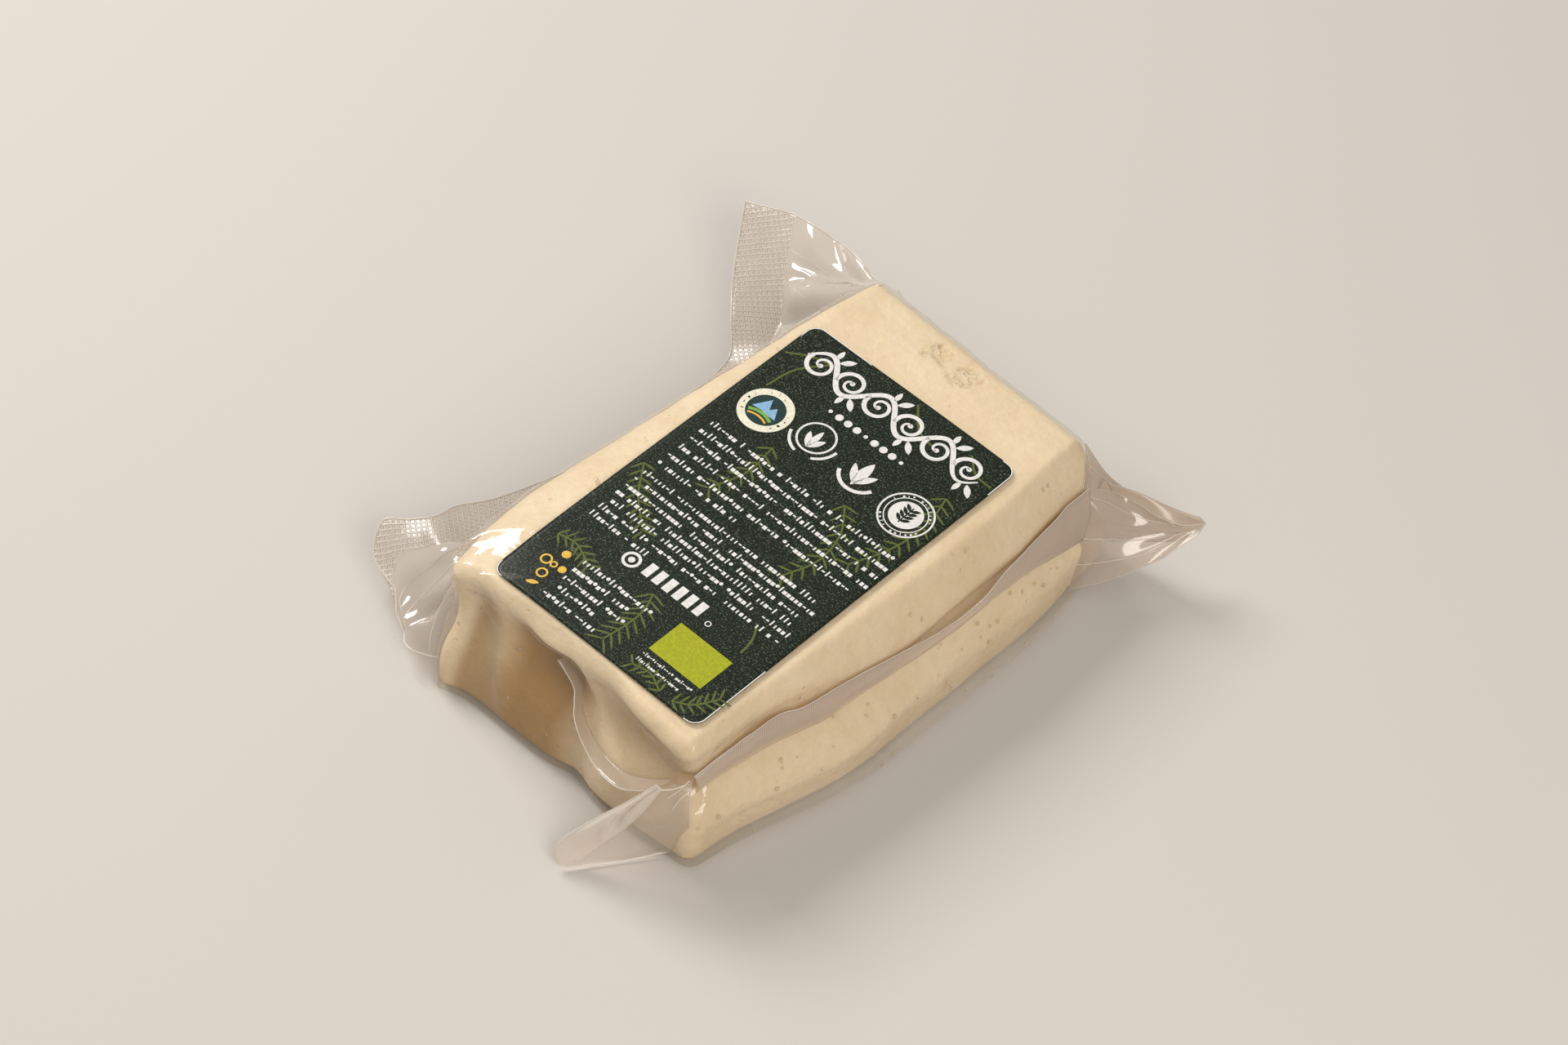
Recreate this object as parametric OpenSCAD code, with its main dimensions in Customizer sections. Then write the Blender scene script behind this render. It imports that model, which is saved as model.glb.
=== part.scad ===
// Vacuum packed block of white brined cheese: a clear bag drawn tight round a slab, with flattened film left as
// flaps at its four corners and a thin fin along its sides, and a paper label on top.
// Millimetres. +X runs across the block, +Y along it to the label's title end, +Z up. The origin is at the middle
// of the face that it lies on.

/* [Cheese block] */
// Width across the near end
block_near_w = 78; // [66:1:94]
// Width across the far end
block_far_w = 72; // [60:1:90]
// Length of the block
block_l = 123; // [112:1:150]
// Height of the block
block_h = 34; // [30:1:42]
// How far the near end sits over to +X
near_shift = -2; // [-4:0.5:4]
// How far the far end sits over to +X
far_shift = 3; // [-4:0.5:6]
// How much further the far end reaches at its left corner than at its right
far_skew = 4; // [-5:0.5:6]
// How much further the near end reaches at its right corner than at its left
near_skew = 3; // [-5:0.5:6]
// Swell of the left side
bulge_left = 5; // [0:0.5:7]
// Swell of the right side
bulge_right = 6; // [0:0.5:7]
// Swell of the far end
bulge_far = 1.5; // [0:0.5:5]
// Swell of the near end
bulge_near = 0.5; // [0:0.5:5]

/* [Block edges] */
// How square the upright corners are, where a higher value is squarer
corner_sharpness = 14; // [10:1:20]
// Rounding of the lower edge
bottom_round = 6; // [3:0.5:8]
// Width of the rounding at the near top edge
top_round_near = 3.5; // [2:0.5:4]
// Width of the rounding at the far top edge
top_round_far = 9; // [3:0.5:12]
// Width of the rounding at the left top edge
top_round_left = 8; // [3:0.5:9]
// Width of the rounding at the right top edge
top_round_right = 5; // [3:0.5:8]
// Depth of the rounding at the top edge
top_round_z = 6; // [3:0.5:7]

/* [Film] */
// Thickness of the film where two layers meet
film_t = 0.8; // [0.6:0.1:1.4]
// Thickness of the gathered film where it leaves the block
gather_t = 2.4; // [1.6:0.2:4]
// Reach of the fin along the right side
side_fin = 2.5; // [1:0.5:6]
// Reach of the fin along the near and far ends
end_fin = 3; // [1:0.5:6]
// Reach of the sealed strip along the left side
seal_strip = 12; // [6:1:20]
// Sag of a flap half way along it
flap_sag = 1.5; // [0:0.5:3]

/* [Corner flaps] */
// Reach to +X of the flap at the far right corner
flap_far_right_x = 20; // [8:1:30]
// Reach to +Y of the flap at the far right corner
flap_far_right_y = 20; // [8:1:30]
// Reach to -X of the flap at the far left corner
flap_far_left_x = 44; // [20:1:55]
// Reach to +Y of the flap at the far left corner
flap_far_left_y = 16; // [6:1:24]
// Reach to -X of the flap at the near left corner
flap_near_left_x = 29; // [14:1:40]
// Reach to -Y of the flap at the near left corner
flap_near_left_y = 7; // [2:1:16]
// Reach to -Y of the flap at the near right corner
flap_near_right_y = 19; // [8:1:26]
// Width of a flap where it leaves the block
flap_root = 18; // [12:1:24]

/* [Label] */
// Width of the label, across the block
label_w = 60; // [40:1:62]
// Length of the label, along the block
label_l = 100; // [60:1:102]
// Thickness of the label
label_t = 0.2; // [0.1:0.05:0.5]
// Radius of the label's corners
label_corner = 3; // [1:0.5:8]
// From the near end's left corner to the label's left edge
label_left_margin = 9; // [4:0.5:12]
// From the near end's right corner to the label's near edge
label_near_margin = 7; // [4.5:0.5:16]

/* [Hidden] */
film_colour = [0.90, 0.86, 0.76];
label_colour = [0.12, 0.18, 0.13];

// The block's upright corners, seen from above.
near_left = [near_shift - block_near_w / 2, -block_l / 2 + near_skew];
near_right = [near_shift + block_near_w / 2, -block_l / 2];
far_right = [far_shift + block_far_w / 2, block_l / 2];
far_left = [far_shift - block_far_w / 2, block_l / 2 + far_skew];

// Its sides: two corners, swell, and width of the top edge's rounding.
sides = [
    [near_left, near_right, bulge_near, top_round_near],
    [near_right, far_right, bulge_right, top_round_right],
    [far_right, far_left, bulge_far, top_round_far],
    [far_left, near_left, bulge_left, top_round_left],
];

// The label's middle, which keeps its margins to the block.
label_middle = [
    near_left[0] + label_left_margin + label_w / 2,
    near_right[1] + label_near_margin + label_l / 2,
];

// How strongly side s holds in a ray at angle a, when the side is moved in by inset.
function side_pull(s, a, inset) =
    let (
        run = s[1] - s[0],
        out = [run[1], -run[0]] / norm(run),
        ray = [cos(a), sin(a)],
        straight = out * s[0],
        facing = max(out * ray, 0.001),
        hit = ray * straight / facing,
        off_middle = norm(hit - (s[0] + s[1]) / 2) / norm(run),
        swell = s[2] * pow(cos(180 * min(off_middle, 0.5)), 2)
    )
    out * ray <= 0 ? 0 : facing / (straight + swell - inset);

// Distance from the middle to the block's outline at angle a: four sides, with corners rounded by a power sum.
function outline_r(a, insets) =
    pow([for (i = [0:3]) pow(side_pull(sides[i], a, insets[i]), corner_sharpness)] * [1, 1, 1, 1],
        -1 / corner_sharpness);
top_insets = [for (s = sides) s[3]];
bottom_insets = [for (s = sides) bottom_round];

// Heights at which the film leaves the block, which the roundings must leave clear.
root_high = block_h - top_round_z - gather_t / 2 - 0.5;
root_low = bottom_round + gather_t / 2 + 2;
root_mid = (root_high + root_low) / 2;
tip_low = film_t / 2 + 0.4;

// Stations round the block: where the film leaves it, how far the film's edge stands off from there, the height
// at the block and the height at the edge.
half_root = flap_root / 2;
stations = [
    [near_right + [-flap_root, 0], [-3, -flap_near_right_y], root_mid, tip_low + 2],
    [near_right + [-2, 0], [-1, -6], root_mid, root_low],
    [near_right + [0, half_root], [side_fin, 0], root_high, root_high],
    [(near_right + far_right) / 2, [side_fin, 0], root_mid + 3, root_mid + 3],
    [far_right - [0, flap_root], [side_fin, 0], root_mid + 3, root_mid + 3],
    [far_right - [0, 2], [flap_far_right_x, flap_far_right_y], root_mid + 3, root_low + 5],
    [far_right - [half_root, 0], [1, end_fin + 4], root_high, root_high],
    [far_left + [half_root, 0], [-1, end_fin + 2], root_high, root_high],
    [far_left + [2, 0], [-0.75 * flap_far_left_x, 0.65 * flap_far_left_y], root_high, root_mid + 3],
    [far_left - [0, half_root], [-flap_far_left_x, flap_far_left_y], root_high, root_mid + 1],
    [far_left - [0, half_root + flap_root], [-seal_strip - 5, 4], root_mid, root_low - 1],
    [(far_left + near_left) / 2, [-seal_strip, 0], root_low, root_low - 1],
    [near_left + [0, 2 * flap_root], [-seal_strip - 4, 1], root_low, root_low],
    [near_left + [0, 0.8 * flap_root], [-flap_near_left_x, -0.6 * flap_near_left_y], root_mid, root_low + 3],
    [near_left + [0, half_root], [0.9 * -flap_near_left_x, -flap_near_left_y], root_mid, root_low - 1],
    [near_left + [1, 2], [0.3 * -flap_near_left_x, -flap_near_left_y - 2], root_mid, root_low - 3],
    [near_left + [half_root / 2, 0], [-1, -end_fin - 2], root_mid, root_mid],
    [(near_left + near_right) / 2, [0, -end_fin], root_mid, root_mid],
];
steps = [3, 4, 8, 8, 4, 4, 8, 4, 3, 4, 8, 8, 4, 3, 3, 3, 6, 6];

function angle_of(p) = atan2(p[1], p[0]);
function turn(from, to) = let (d = angle_of(to) - angle_of(from)) d < -180 ? d + 360 : d > 180 ? d - 360 : d;
function mix(u, v, t) = u * (1 - t) + v * t;

// One section: up from the floor, over the side, out along the film's underside, back along its top, over the
// edge. Every section has the same count of points.
round_steps = 5;
function section(a, off, z_root, z_edge) =
    let (
        ray = [cos(a), sin(a)],
        side = outline_r(a, [0, 0, 0, 0]),
        foot = outline_r(a, bottom_insets),
        rim = outline_r(a, top_insets),
        root = side * ray,
        half = root + off / 2,
        edge = root + off,
        z_half = (z_root + z_edge) / 2 - min(flap_sag, norm(off) / 10),
        t_half = (film_t + gather_t) / 4
    )
    concat(
        [for (k = [0:round_steps]) let (w = 90 * k / round_steps)
            concat(ray * mix(foot, side, sin(w)), [bottom_round * (1 - cos(w))])],
        [concat(root, [z_root - gather_t / 2]), concat(half, [z_half - t_half]), concat(edge, [z_edge - film_t / 2])],
        [concat(edge, [z_edge + film_t / 2]), concat(half, [z_half + t_half]), concat(root, [z_root + gather_t / 2])],
        [for (k = [0:round_steps]) let (w = 90 * k / round_steps)
            concat(ray * mix(rim, side, cos(w)), [block_h - top_round_z * (1 - sin(w))])]
    );

sections = [for (i = [0:len(stations) - 1]) let (
        s = stations[i],
        n = stations[(i + 1) % len(stations)],
        sweep = turn(s[0], n[0])
    ) for (k = [0:steps[i] - 1]) let (t = k / steps[i])
        section(angle_of(s[0]) + sweep * t, mix(s[1], n[1], t), mix(s[2], n[2], t), mix(s[3], n[3], t))];

// The block in its bag: a closed skin through all the sections, flat underneath and flat on top.
module bag() {
    rings = len(sections);
    per = len(sections[0]);
    points = [for (s = sections, p = s) p];
    foot = [for (i = [0:rings - 1]) i * per];
    rim = [for (i = [rings - 1:-1:0]) i * per + per - 1];
    skin = [for (i = [0:rings - 1], k = [0:per - 2]) let (
            a = i * per + k,
            b = (i + 1) % rings * per + k
        ) each [[a, a + 1, b + 1], [a, b + 1, b]]];
    color(film_colour) polyhedron(points = points, faces = concat([foot, rim], skin), convexity = 8);
}

// A plain rounded label that lies flat on the block's top.
module label() {
    in_x = label_w / 2 - label_corner;
    in_y = label_l / 2 - label_corner;
    color(label_colour) translate(concat(label_middle, [block_h])) linear_extrude(label_t) union() {
        square([label_w, 2 * in_y], center = true);
        square([2 * in_x, label_l], center = true);
        for (x = [-in_x, in_x], y = [-in_y, in_y]) translate([x, y]) circle(label_corner, $fn = 48);
    }
}

bag();
label();
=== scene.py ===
"""A vacuum-packed slab of white brined cheese: the moist, finely pitted block, the clear bag drawn tight
round it with its flaps, fins and sealed strip, and a dark green label with pale printing on top."""

import math

import bpy
import numpy as np
from mathutils import Matrix, Vector, noise


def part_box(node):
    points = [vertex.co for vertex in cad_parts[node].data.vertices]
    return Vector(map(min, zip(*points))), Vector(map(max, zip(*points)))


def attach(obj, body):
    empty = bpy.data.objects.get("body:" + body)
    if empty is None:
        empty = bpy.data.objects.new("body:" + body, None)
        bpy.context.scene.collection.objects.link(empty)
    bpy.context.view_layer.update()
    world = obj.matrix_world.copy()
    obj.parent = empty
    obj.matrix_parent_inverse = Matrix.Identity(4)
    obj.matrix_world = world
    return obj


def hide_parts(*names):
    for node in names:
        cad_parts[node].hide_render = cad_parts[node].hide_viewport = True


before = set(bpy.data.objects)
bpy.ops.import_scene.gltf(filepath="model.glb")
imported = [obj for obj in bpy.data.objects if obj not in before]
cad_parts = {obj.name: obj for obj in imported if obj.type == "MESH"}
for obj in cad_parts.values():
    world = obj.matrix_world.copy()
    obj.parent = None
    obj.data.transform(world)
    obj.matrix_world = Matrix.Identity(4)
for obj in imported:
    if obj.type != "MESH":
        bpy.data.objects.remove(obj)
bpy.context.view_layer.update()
MM = 0.001

# ---- Cheese --------------------------------------------------------------------------------------
# The slab of white cheese as it was cut and then squeezed by the vacuum: square-cornered, swollen along its
# sides, pinched where the film gathers, with a few pits on its faces and a crumbled patch near the far
# edge.

BLOCK_CORNERS = {  # upright corners seen from above, before rounding
    (-1, -1): (-41.0, -60.0),
    (1, -1): (37.0, -61.5),
    (1, 1): (40.0, 64.0),
    (-1, 1): (-34.0, 67.5),
}
BLOCK_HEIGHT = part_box("bag")[1].z / MM
BLOCK_HALF = np.array([38.0, 62.0, BLOCK_HEIGHT / 2 - 0.2])
BLOCK_CELLS = (104, 162, 46)  # across, along and up
CHEESE_FLOOR, FILM_FLOOR = 0.3, 0.03  # how high their undersides lie
CRUMBLED = ((-7.5, 59.7), (1.5, 58.2))  # where the top is broken, seen from above
LABEL_LOW, LABEL_HIGH = (np.array(c[:2]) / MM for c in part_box("label"))


def smooth_step(low, high, value):
    t = np.clip((value - low) / (high - low), 0, 1)
    return t * t * (3 - 2 * t)


def bump(value, width):
    return np.exp(-((value / width) ** 2))


def box_grid(counts):
    """Points on the faces of a box from -1 to 1, and its outward quads, with the given cells along each
    axis."""
    quads = []
    for axis in range(3):
        a, b = (axis + 1) % 3, (axis + 2) % 3
        for side in (0, 1):
            i, j = np.meshgrid(np.arange(counts[a]), np.arange(counts[b]), indexing="ij")
            ring = []
            for di, dj in ((0, 0), (1, 0), (1, 1), (0, 1)):
                corner = np.zeros(i.shape + (3,), int)
                corner[..., axis] = counts[axis] * side
                corner[..., a], corner[..., b] = i + di, j + dj
                ring.append(corner.reshape(-1, 3))
            quads.append(np.stack(ring if side else ring[::-1], 1))
    keys, index = np.unique(np.concatenate(quads).reshape(-1, 3), axis=0, return_inverse=True)
    return keys / np.array(counts) * 2.0 - 1.0, index.reshape(-1, 4)


def cloud(points, size, seed, octaves=3):
    """Smooth noise from -1 to 1 at each point, with features of that size."""
    start = Vector((seed, seed * 2, 0))
    return np.array([noise.fractal(Vector(p) / size + start, 1.0, 2.0, octaves) for p in points])


def rounded(unit, radii):
    """The box's points with its edges rounded by radii (plan, top, bottom)."""
    p = unit * BLOCK_HALF
    r = np.stack([
        np.full(len(p), radii[0]),
        np.full(len(p), radii[0]),
        np.where(unit[:, 2] > 0, radii[1], radii[2]),
    ], 1)
    inner = np.clip(p, -(BLOCK_HALF - r), BLOCK_HALF - r)
    q = (p - inner) / r
    return inner + q / np.maximum(np.linalg.norm(q, axis=1, keepdims=True), 1) * r


def seam_height(y):
    """Height of the film's side seam, where it pinches the right side."""
    return 20.8 + 1.0 * np.sin(y / 19.0)


def sag(x, y):
    """How far the top face lies below the block's full height."""
    corner = np.hypot(x + 41, y + 59)
    edges = 2.2 * smooth_step(-31, -43, x) + 1.4 * smooth_step(52, 68, y) + 0.9 * smooth_step(29, 36, x)
    return edges + 1.6 * bump(corner, 13) + 0.08 * np.sin(x / 9 + 1) * np.cos(y / 14)


def slab(unit, radii, grow, pinch, skirt):
    """Block-shaped skin through the box's points: grow is how far it stands off, pinch how deep the hollows
    are and skirt how far it stands off the lower right edge. Returns the points in mm and each one's shade,
    0 to 1."""
    p = rounded(unit, radii)
    s, t = p[:, 0] / BLOCK_HALF[0], p[:, 1] / BLOCK_HALF[1]
    x, y = np.zeros(len(p)), np.zeros(len(p))
    for (cx, cy), (px, py) in BLOCK_CORNERS.items():
        share = (1 + cx * s) * (1 + cy * t) / 4
        x, y = x + share * px, y + share * py
    z = p[:, 2] + BLOCK_HALF[2]
    right, left = smooth_step(0.5, 1.0, s), smooth_step(0.5, 1.0, -s)
    near, far = smooth_step(0.86, 0.99, -t), smooth_step(0.86, 0.99, t)
    arch = np.clip(1 - t**2, 0, 1)

    # Right side, in place of the straight line from corner to corner: an upper lobe that leans out, a step
    # and a narrow groove at the seam, and a wider lower lobe.
    rim = 31.6 + 3.2 * smooth_step(-62, 25, y) - 2.6 * smooth_step(30, 66, y)
    seam = 32.2 + 7.4 * smooth_step(-56, 5, y) - 2.2 * smooth_step(30, 64, y)
    foot = 36.0 + 8.0 * smooth_step(-62, -12, y) - 3.0 * smooth_step(30, 66, y)
    wall = rim + (seam - rim) * smooth_step(33, 22, z) + (foot - seam) * smooth_step(seam_height(y) - 1, 9, z)
    x = x + right * (wall - (37.0 + 1.5 * (1 + t)))
    depth = 1.0 + 0.8 * smooth_step(0.3, 0.8, -t) + 0.7 * np.sin(y / 13 + 0.6) ** 2
    groove = bump(z - seam_height(y), 1.9) * depth
    x = x + right * (0.45 * bump(z - 13 - 2 * np.sin(y / 17), 3.5) - 0.4 * bump(z - 27 - np.sin(y / 15), 2.0))
    x = x - right * pinch * groove
    x = x + right * skirt * arch**0.4 * bump(z - 3.5, 4.0)

    # Left side: one broad swelling over a shallow trough, deeper towards the corners.
    x = x - left * (arch * 3.4 + 2.2 * bump(y + 34, 20))
    x = x + left * pinch * bump(z - 15, 4.5) * (1.2 + 0.7 * np.abs(t) ** 3)

    # Far end: a shallow groove under its seam.
    y = y - far * (pinch * 1.5 * bump(z - 23, 4.0) - 0.8)

    # Near end: a wall that leans out to its foot, with a lip at the top over a pocket on the left and a
    # hollow on the right, a fold between them that leans as it goes down, and a soft upright ridge in the
    # pocket.
    head = -57.2 - 2.6 * smooth_step(4, 18, x) - 1.2 * smooth_step(-33, -41, x)
    heel = -64.4 + 1.9 * bump(x - 2, 5) + 1.2 * smooth_step(20, 34, x)
    wall = head + (heel - head) * smooth_step(27, 2, z)
    fold = -4.5 + 24.0 * smooth_step(27, 6, z)
    pocket = 5.6 * bump(x + 11.0, 10.0) * bump(z - 21.5, 6.0) * smooth_step(fold + 4, fold - 2, x)
    hollow = 4.4 * bump(x - 16, 12.0) * bump(z - 22.0, 7.0) * smooth_step(fold - 3, fold + 4, x)
    corner = 1.2 * bump(x + 32, 4.0) * bump(z - 25, 4.5)
    dent = near * (pocket + hollow + corner)
    lip = 2.3 * bump(x + 12.0, 6.5) * bump(z - 28.8, 2.2) + 0.8 * bump(x - 18, 14) * bump(z - 30, 3.0)
    ridge = 1.7 * bump(x + 25 - 0.35 * (24 - z), 2.6) * bump(z - 16, 9)
    y = y + near * (wall + 60.0 + 0.75 * (1 + s)) + pinch * (dent - near * ridge) - near * lip

    # Upright corners pinched at the seam's height.
    for (cx, cy), depth in {(1, -1): 1.0, (1, 1): 0.8, (-1, 1): 2.2, (-1, -1): 1.3}.items():
        at = bump(s - cx, 0.13) * bump(t - cy, 0.08) * bump(z - 19, 6) * depth * pinch
        x, y = x - cx * at, y - cy * at

    # The near left corner's foot is drawn out to the front.
    toe = bump(s + 1, 0.22) * bump(t + 1, 0.10) * smooth_step(20, 3, z)
    x, y = x + 3.6 * toe, y - 2.6 * toe

    # The top falls to the left and far edges; elsewhere faint waves, which leave the label's place and the
    # foot flat.
    top = smooth_step(BLOCK_HEIGHT - 10, BLOCK_HEIGHT - 1, z)
    z = z - top * sag(x, y)
    points = np.stack([x, y, z], 1)
    off_label = np.maximum(
        smooth_step(0, 3, np.maximum(LABEL_LOW[0] - x, x - LABEL_HIGH[0])),
        smooth_step(0, 3, np.maximum(LABEL_LOW[1] - y, y - LABEL_HIGH[1])),
    )
    calm = 1 - smooth_step(BLOCK_HEIGHT - 2, BLOCK_HEIGHT - 1, z) * (1 - off_label)
    calm = calm * smooth_step(0.2, 4.0, z)
    out = (p / BLOCK_HALF) ** 7
    out = out / np.maximum(np.linalg.norm(out, axis=1, keepdims=True), 1e-6)
    wave = cloud(points, 26.0, 3.0) * 0.6 + cloud(points, 8.0, 8.0, 2) * 0.16
    points = points + out * ((wave * calm)[:, None] * np.array([1, 1, 0.6]) + grow)
    points[:, 2] = np.maximum(points[:, 2], FILM_FLOOR if grow > 0 else CHEESE_FLOOR)

    # Painted shade: bands across the near end, dark in its pocket and hollow and light at its left corner,
    # and a little over the right side, in its seam and towards the foot.
    zone = 0.76 - 0.70 * smooth_step(-30.5, -34.5, x) - 0.38 * bump(x + 24, 3.5) * smooth_step(11, 18, z)
    zone = (zone + 0.30 * bump(x + 11, 7)) * smooth_step(fold + 3, fold - 3, x) * smooth_step(8, -7, x)
    end_shade = near * smooth_step(29, 23, z) * (0.05 + zone)
    shade = near * (pocket / 30.0 + hollow / 8.0) + end_shade + right * (0.06 + 0.11 * groove)
    return points, np.clip(shade + 0.07 * (1 - smooth_step(2, 9, z)), 0, 1)


def mesh_piece(name, points, faces, edges=(), smooth=True):
    """A mesh object of that name, from points in millimetres."""
    mesh = bpy.data.meshes.new(name)
    corners = [tuple(p) for p in np.asarray(points, float) * MM]
    mesh.from_pydata(corners, list(edges), [tuple(int(i) for i in f) for f in faces])
    mesh.update()
    mesh.polygons.foreach_set("use_smooth", [smooth] * len(mesh.polygons))
    piece = bpy.data.objects.new(name, mesh)
    bpy.context.scene.collection.objects.link(piece)
    return piece


def mark_points(piece, name, values, kind="FLOAT"):
    """Writes one value for each point into an attribute of that name, for the piece's material to read."""
    layer = piece.data.attributes.new(name, kind, "POINT")
    layer.data.foreach_set("value" if kind == "FLOAT" else "vector", np.asarray(values, float).ravel())


def wire(tree, start, end):
    tree.links.new(start, end)


def wire_all(tree, *wires):
    """Several wires at once, each as (from node, its output, to node, its input)."""
    for start, output, end, socket in wires:
        wire(tree, start.outputs[output], end.inputs[socket])


def new_material(name):
    material = bpy.data.materials.new(name)
    material.use_nodes = True
    material.node_tree.nodes.clear()
    return material, material.node_tree


def add_node(tree, kind, **values):
    """A node of that kind, its inputs set by name and its settings by attribute."""
    made = tree.nodes.new(kind)
    for key, value in values.items():
        if hasattr(made, key):
            setattr(made, key, value)
        else:
            made.inputs[key.replace("_", " ")].default_value = value
    return made


def ramp(tree, source, *stops):
    """A colour ramp fed by source, through the given (position, colour) stops."""
    made = add_node(tree, "ShaderNodeValToRGB")
    while len(made.color_ramp.elements) < len(stops):
        made.color_ramp.elements.new(0.5)
    for element, (position, colour) in zip(made.color_ramp.elements, stops):
        element.position = position
        element.color = (*colour, 1) if len(colour) == 3 else colour
    wire(tree, source, made.inputs["Fac"])
    return made


def blend(tree, mode, share, under, over):
    """Two colours mixed in that mode. share, under and over are sockets or plain values."""
    made = add_node(tree, "ShaderNodeMix", data_type="RGBA", blend_type=mode)
    for socket, value in ((made.inputs[0], share), (made.inputs[6], under), (made.inputs[7], over)):
        if isinstance(value, bpy.types.NodeSocket):
            wire(tree, value, socket)
        else:
            socket.default_value = value
    return made.outputs[2]


block_unit, block_faces = box_grid(BLOCK_CELLS)
cheese_points, shade = slab(block_unit, (3.6, 4.4, 3.6), grow=-0.3, pinch=1.0, skirt=0.0)
on_top = cheese_points[:, 2] > 25
x, y = cheese_points[:, 0], cheese_points[:, 1]
crumbled = np.minimum(*(np.hypot(x - cx, 1.3 * (y - cy)) for cx, cy in CRUMBLED))
crumbled = smooth_step(4.4, 3.0, crumbled + 2.4 * cloud(cheese_points, 2.6, 4.0, 2)) * on_top
cheese_points[:, 2] -= crumbled * (0.12 + 0.75 * np.abs(cloud(cheese_points, 2.2, 6.0, 2)))
cheese = mesh_piece("cheese_block", cheese_points, block_faces)
mark_points(cheese, "shade", shade)
mark_points(cheese, "crumbled", crumbled)

cheese_skin, tree = new_material("white_brined_cheese")
place = add_node(tree, "ShaderNodeTexCoord")
mottle = add_node(tree, "ShaderNodeTexNoise", Scale=60.0, Detail=4.0, Roughness=0.6)
curd = add_node(tree, "ShaderNodeTexNoise", Scale=420.0, Detail=3.0, Roughness=0.55)
cells = add_node(tree, "ShaderNodeTexVoronoi", Scale=300.0, Randomness=1.0)
ragged = add_node(tree, "ShaderNodeTexNoise", Scale=900.0, Detail=2.0)
chance = add_node(tree, "ShaderNodeTexNoise", Scale=105.0, Detail=2.0)
rubble = add_node(tree, "ShaderNodeTexNoise", Scale=400.0, Detail=3.0, Roughness=0.6)
shaded = add_node(tree, "ShaderNodeAttribute", attribute_name="shade")
crumbs = add_node(tree, "ShaderNodeAttribute", attribute_name="crumbled")
for texture in (mottle, curd, cells, chance, ragged, rubble):
    wire(tree, place.outputs["Object"], texture.inputs["Vector"])
pale = ramp(tree, mottle.outputs["Fac"], (0.32, (0.625, 0.51, 0.35)), (0.70, (0.68, 0.575, 0.42)))
rough_rim = add_node(tree, "ShaderNodeMath", operation="MULTIPLY_ADD")
rough_rim.inputs[1].default_value = 0.36
wire_all(tree, (ragged, "Fac", rough_rim, 0), (cells, "Distance", rough_rim, 2))
pit = ramp(tree, rough_rim.outputs["Value"], (0.26, (1, 1, 1)), (0.37, (0, 0, 0)))
where = ramp(tree, chance.outputs["Fac"], (0.60, (0, 0, 0)), (0.65, (0.8, 0.8, 0.8)))
more = blend(tree, "LIGHTEN", 1.0, where.outputs["Color"], crumbs.outputs["Color"])
broken = ramp(tree, rubble.outputs["Fac"], (0.45, (0, 0, 0)), (0.54, (1, 1, 1)))
pits = blend(tree, "MULTIPLY", 1.0, pit.outputs["Color"], more)
torn = blend(tree, "MULTIPLY", 1.0, broken.outputs["Color"], crumbs.outputs["Color"])
# Painted shade: a dark amber mixed in where the shade attribute is high.
toned = blend(tree, "MIX", shaded.outputs["Fac"], pale.outputs["Color"], (0.30, 0.165, 0.036, 1))
grain = ramp(tree, curd.outputs["Fac"], (0.30, (0.95, 0.93, 0.89)), (0.62, (1, 1, 1)))
grained = blend(tree, "MULTIPLY", 0.8, toned, grain.outputs["Color"])
# Painted shade in the pits and in the crumbled patch's broken hollows.
pit_shaded = blend(tree, "MULTIPLY", pits, grained, (0.88, 0.79, 0.62, 1))
pit_shaded = blend(tree, "MULTIPLY", torn, pit_shaded, (0.97, 0.93, 0.86, 1))
relief = blend(tree, "SUBTRACT", 1.0, curd.outputs["Fac"], blend(tree, "ADD", 1.0, pits, torn))
raised = add_node(tree, "ShaderNodeBump", Strength=0.6, Distance=0.0007)
surface = add_node(tree, "ShaderNodeBsdfPrincipled", Roughness=0.55)
surface.inputs["Subsurface Weight"].default_value = 0.3
surface.inputs["Subsurface Radius"].default_value = (1.0, 0.62, 0.30)
surface.inputs["Subsurface Scale"].default_value = 0.003
end = add_node(tree, "ShaderNodeOutputMaterial")
wire(tree, pit_shaded, surface.inputs["Base Color"])
wire(tree, relief, raised.inputs["Height"])
wire_all(tree, (raised, "Normal", surface, "Normal"), (surface, "BSDF", end, "Surface"))
cheese.data.materials.append(cheese_skin)
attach(cheese, "root")
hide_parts("bag", "label")

# ---- Drawn film ----------------------------------------------------------------------------------
# The part of the bag that the vacuum drew onto the cheese: thin clear laminated film, glossy, that bridges
# the hollows, stands off the lower edges as a translucent band and gathers into creases at the four
# corners.

# Where the film gathers at the upright corners, seen from above, and how deep its creases are there.
GATHERS = {(-39.0, -56.0): 2.4, (34.0, -60.0): 1.2, (38.0, 61.0): 0.7, (-33.0, 65.0): 1.3}
GATHER_HEIGHT, GATHER_REACH = 24.0, 12.0
WAVES_SCALE = 80.0


def new_group(name, tree_kind, inputs, outputs):
    """A node group with named sockets: inputs as (name, kind, value), outputs as (name, kind). Returns the
    group and the nodes that stand for its inputs and outputs."""
    group = bpy.data.node_groups.new(name, tree_kind)
    for label, kind, value in inputs:
        socket = group.interface.new_socket(label, in_out="INPUT", socket_type="NodeSocket" + kind)
        if value is not None:
            socket.default_value = value
    for label, kind in outputs:
        group.interface.new_socket(label, in_out="OUTPUT", socket_type="NodeSocket" + kind)
    return group, group.nodes.new("NodeGroupInput"), group.nodes.new("NodeGroupOutput")


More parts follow.
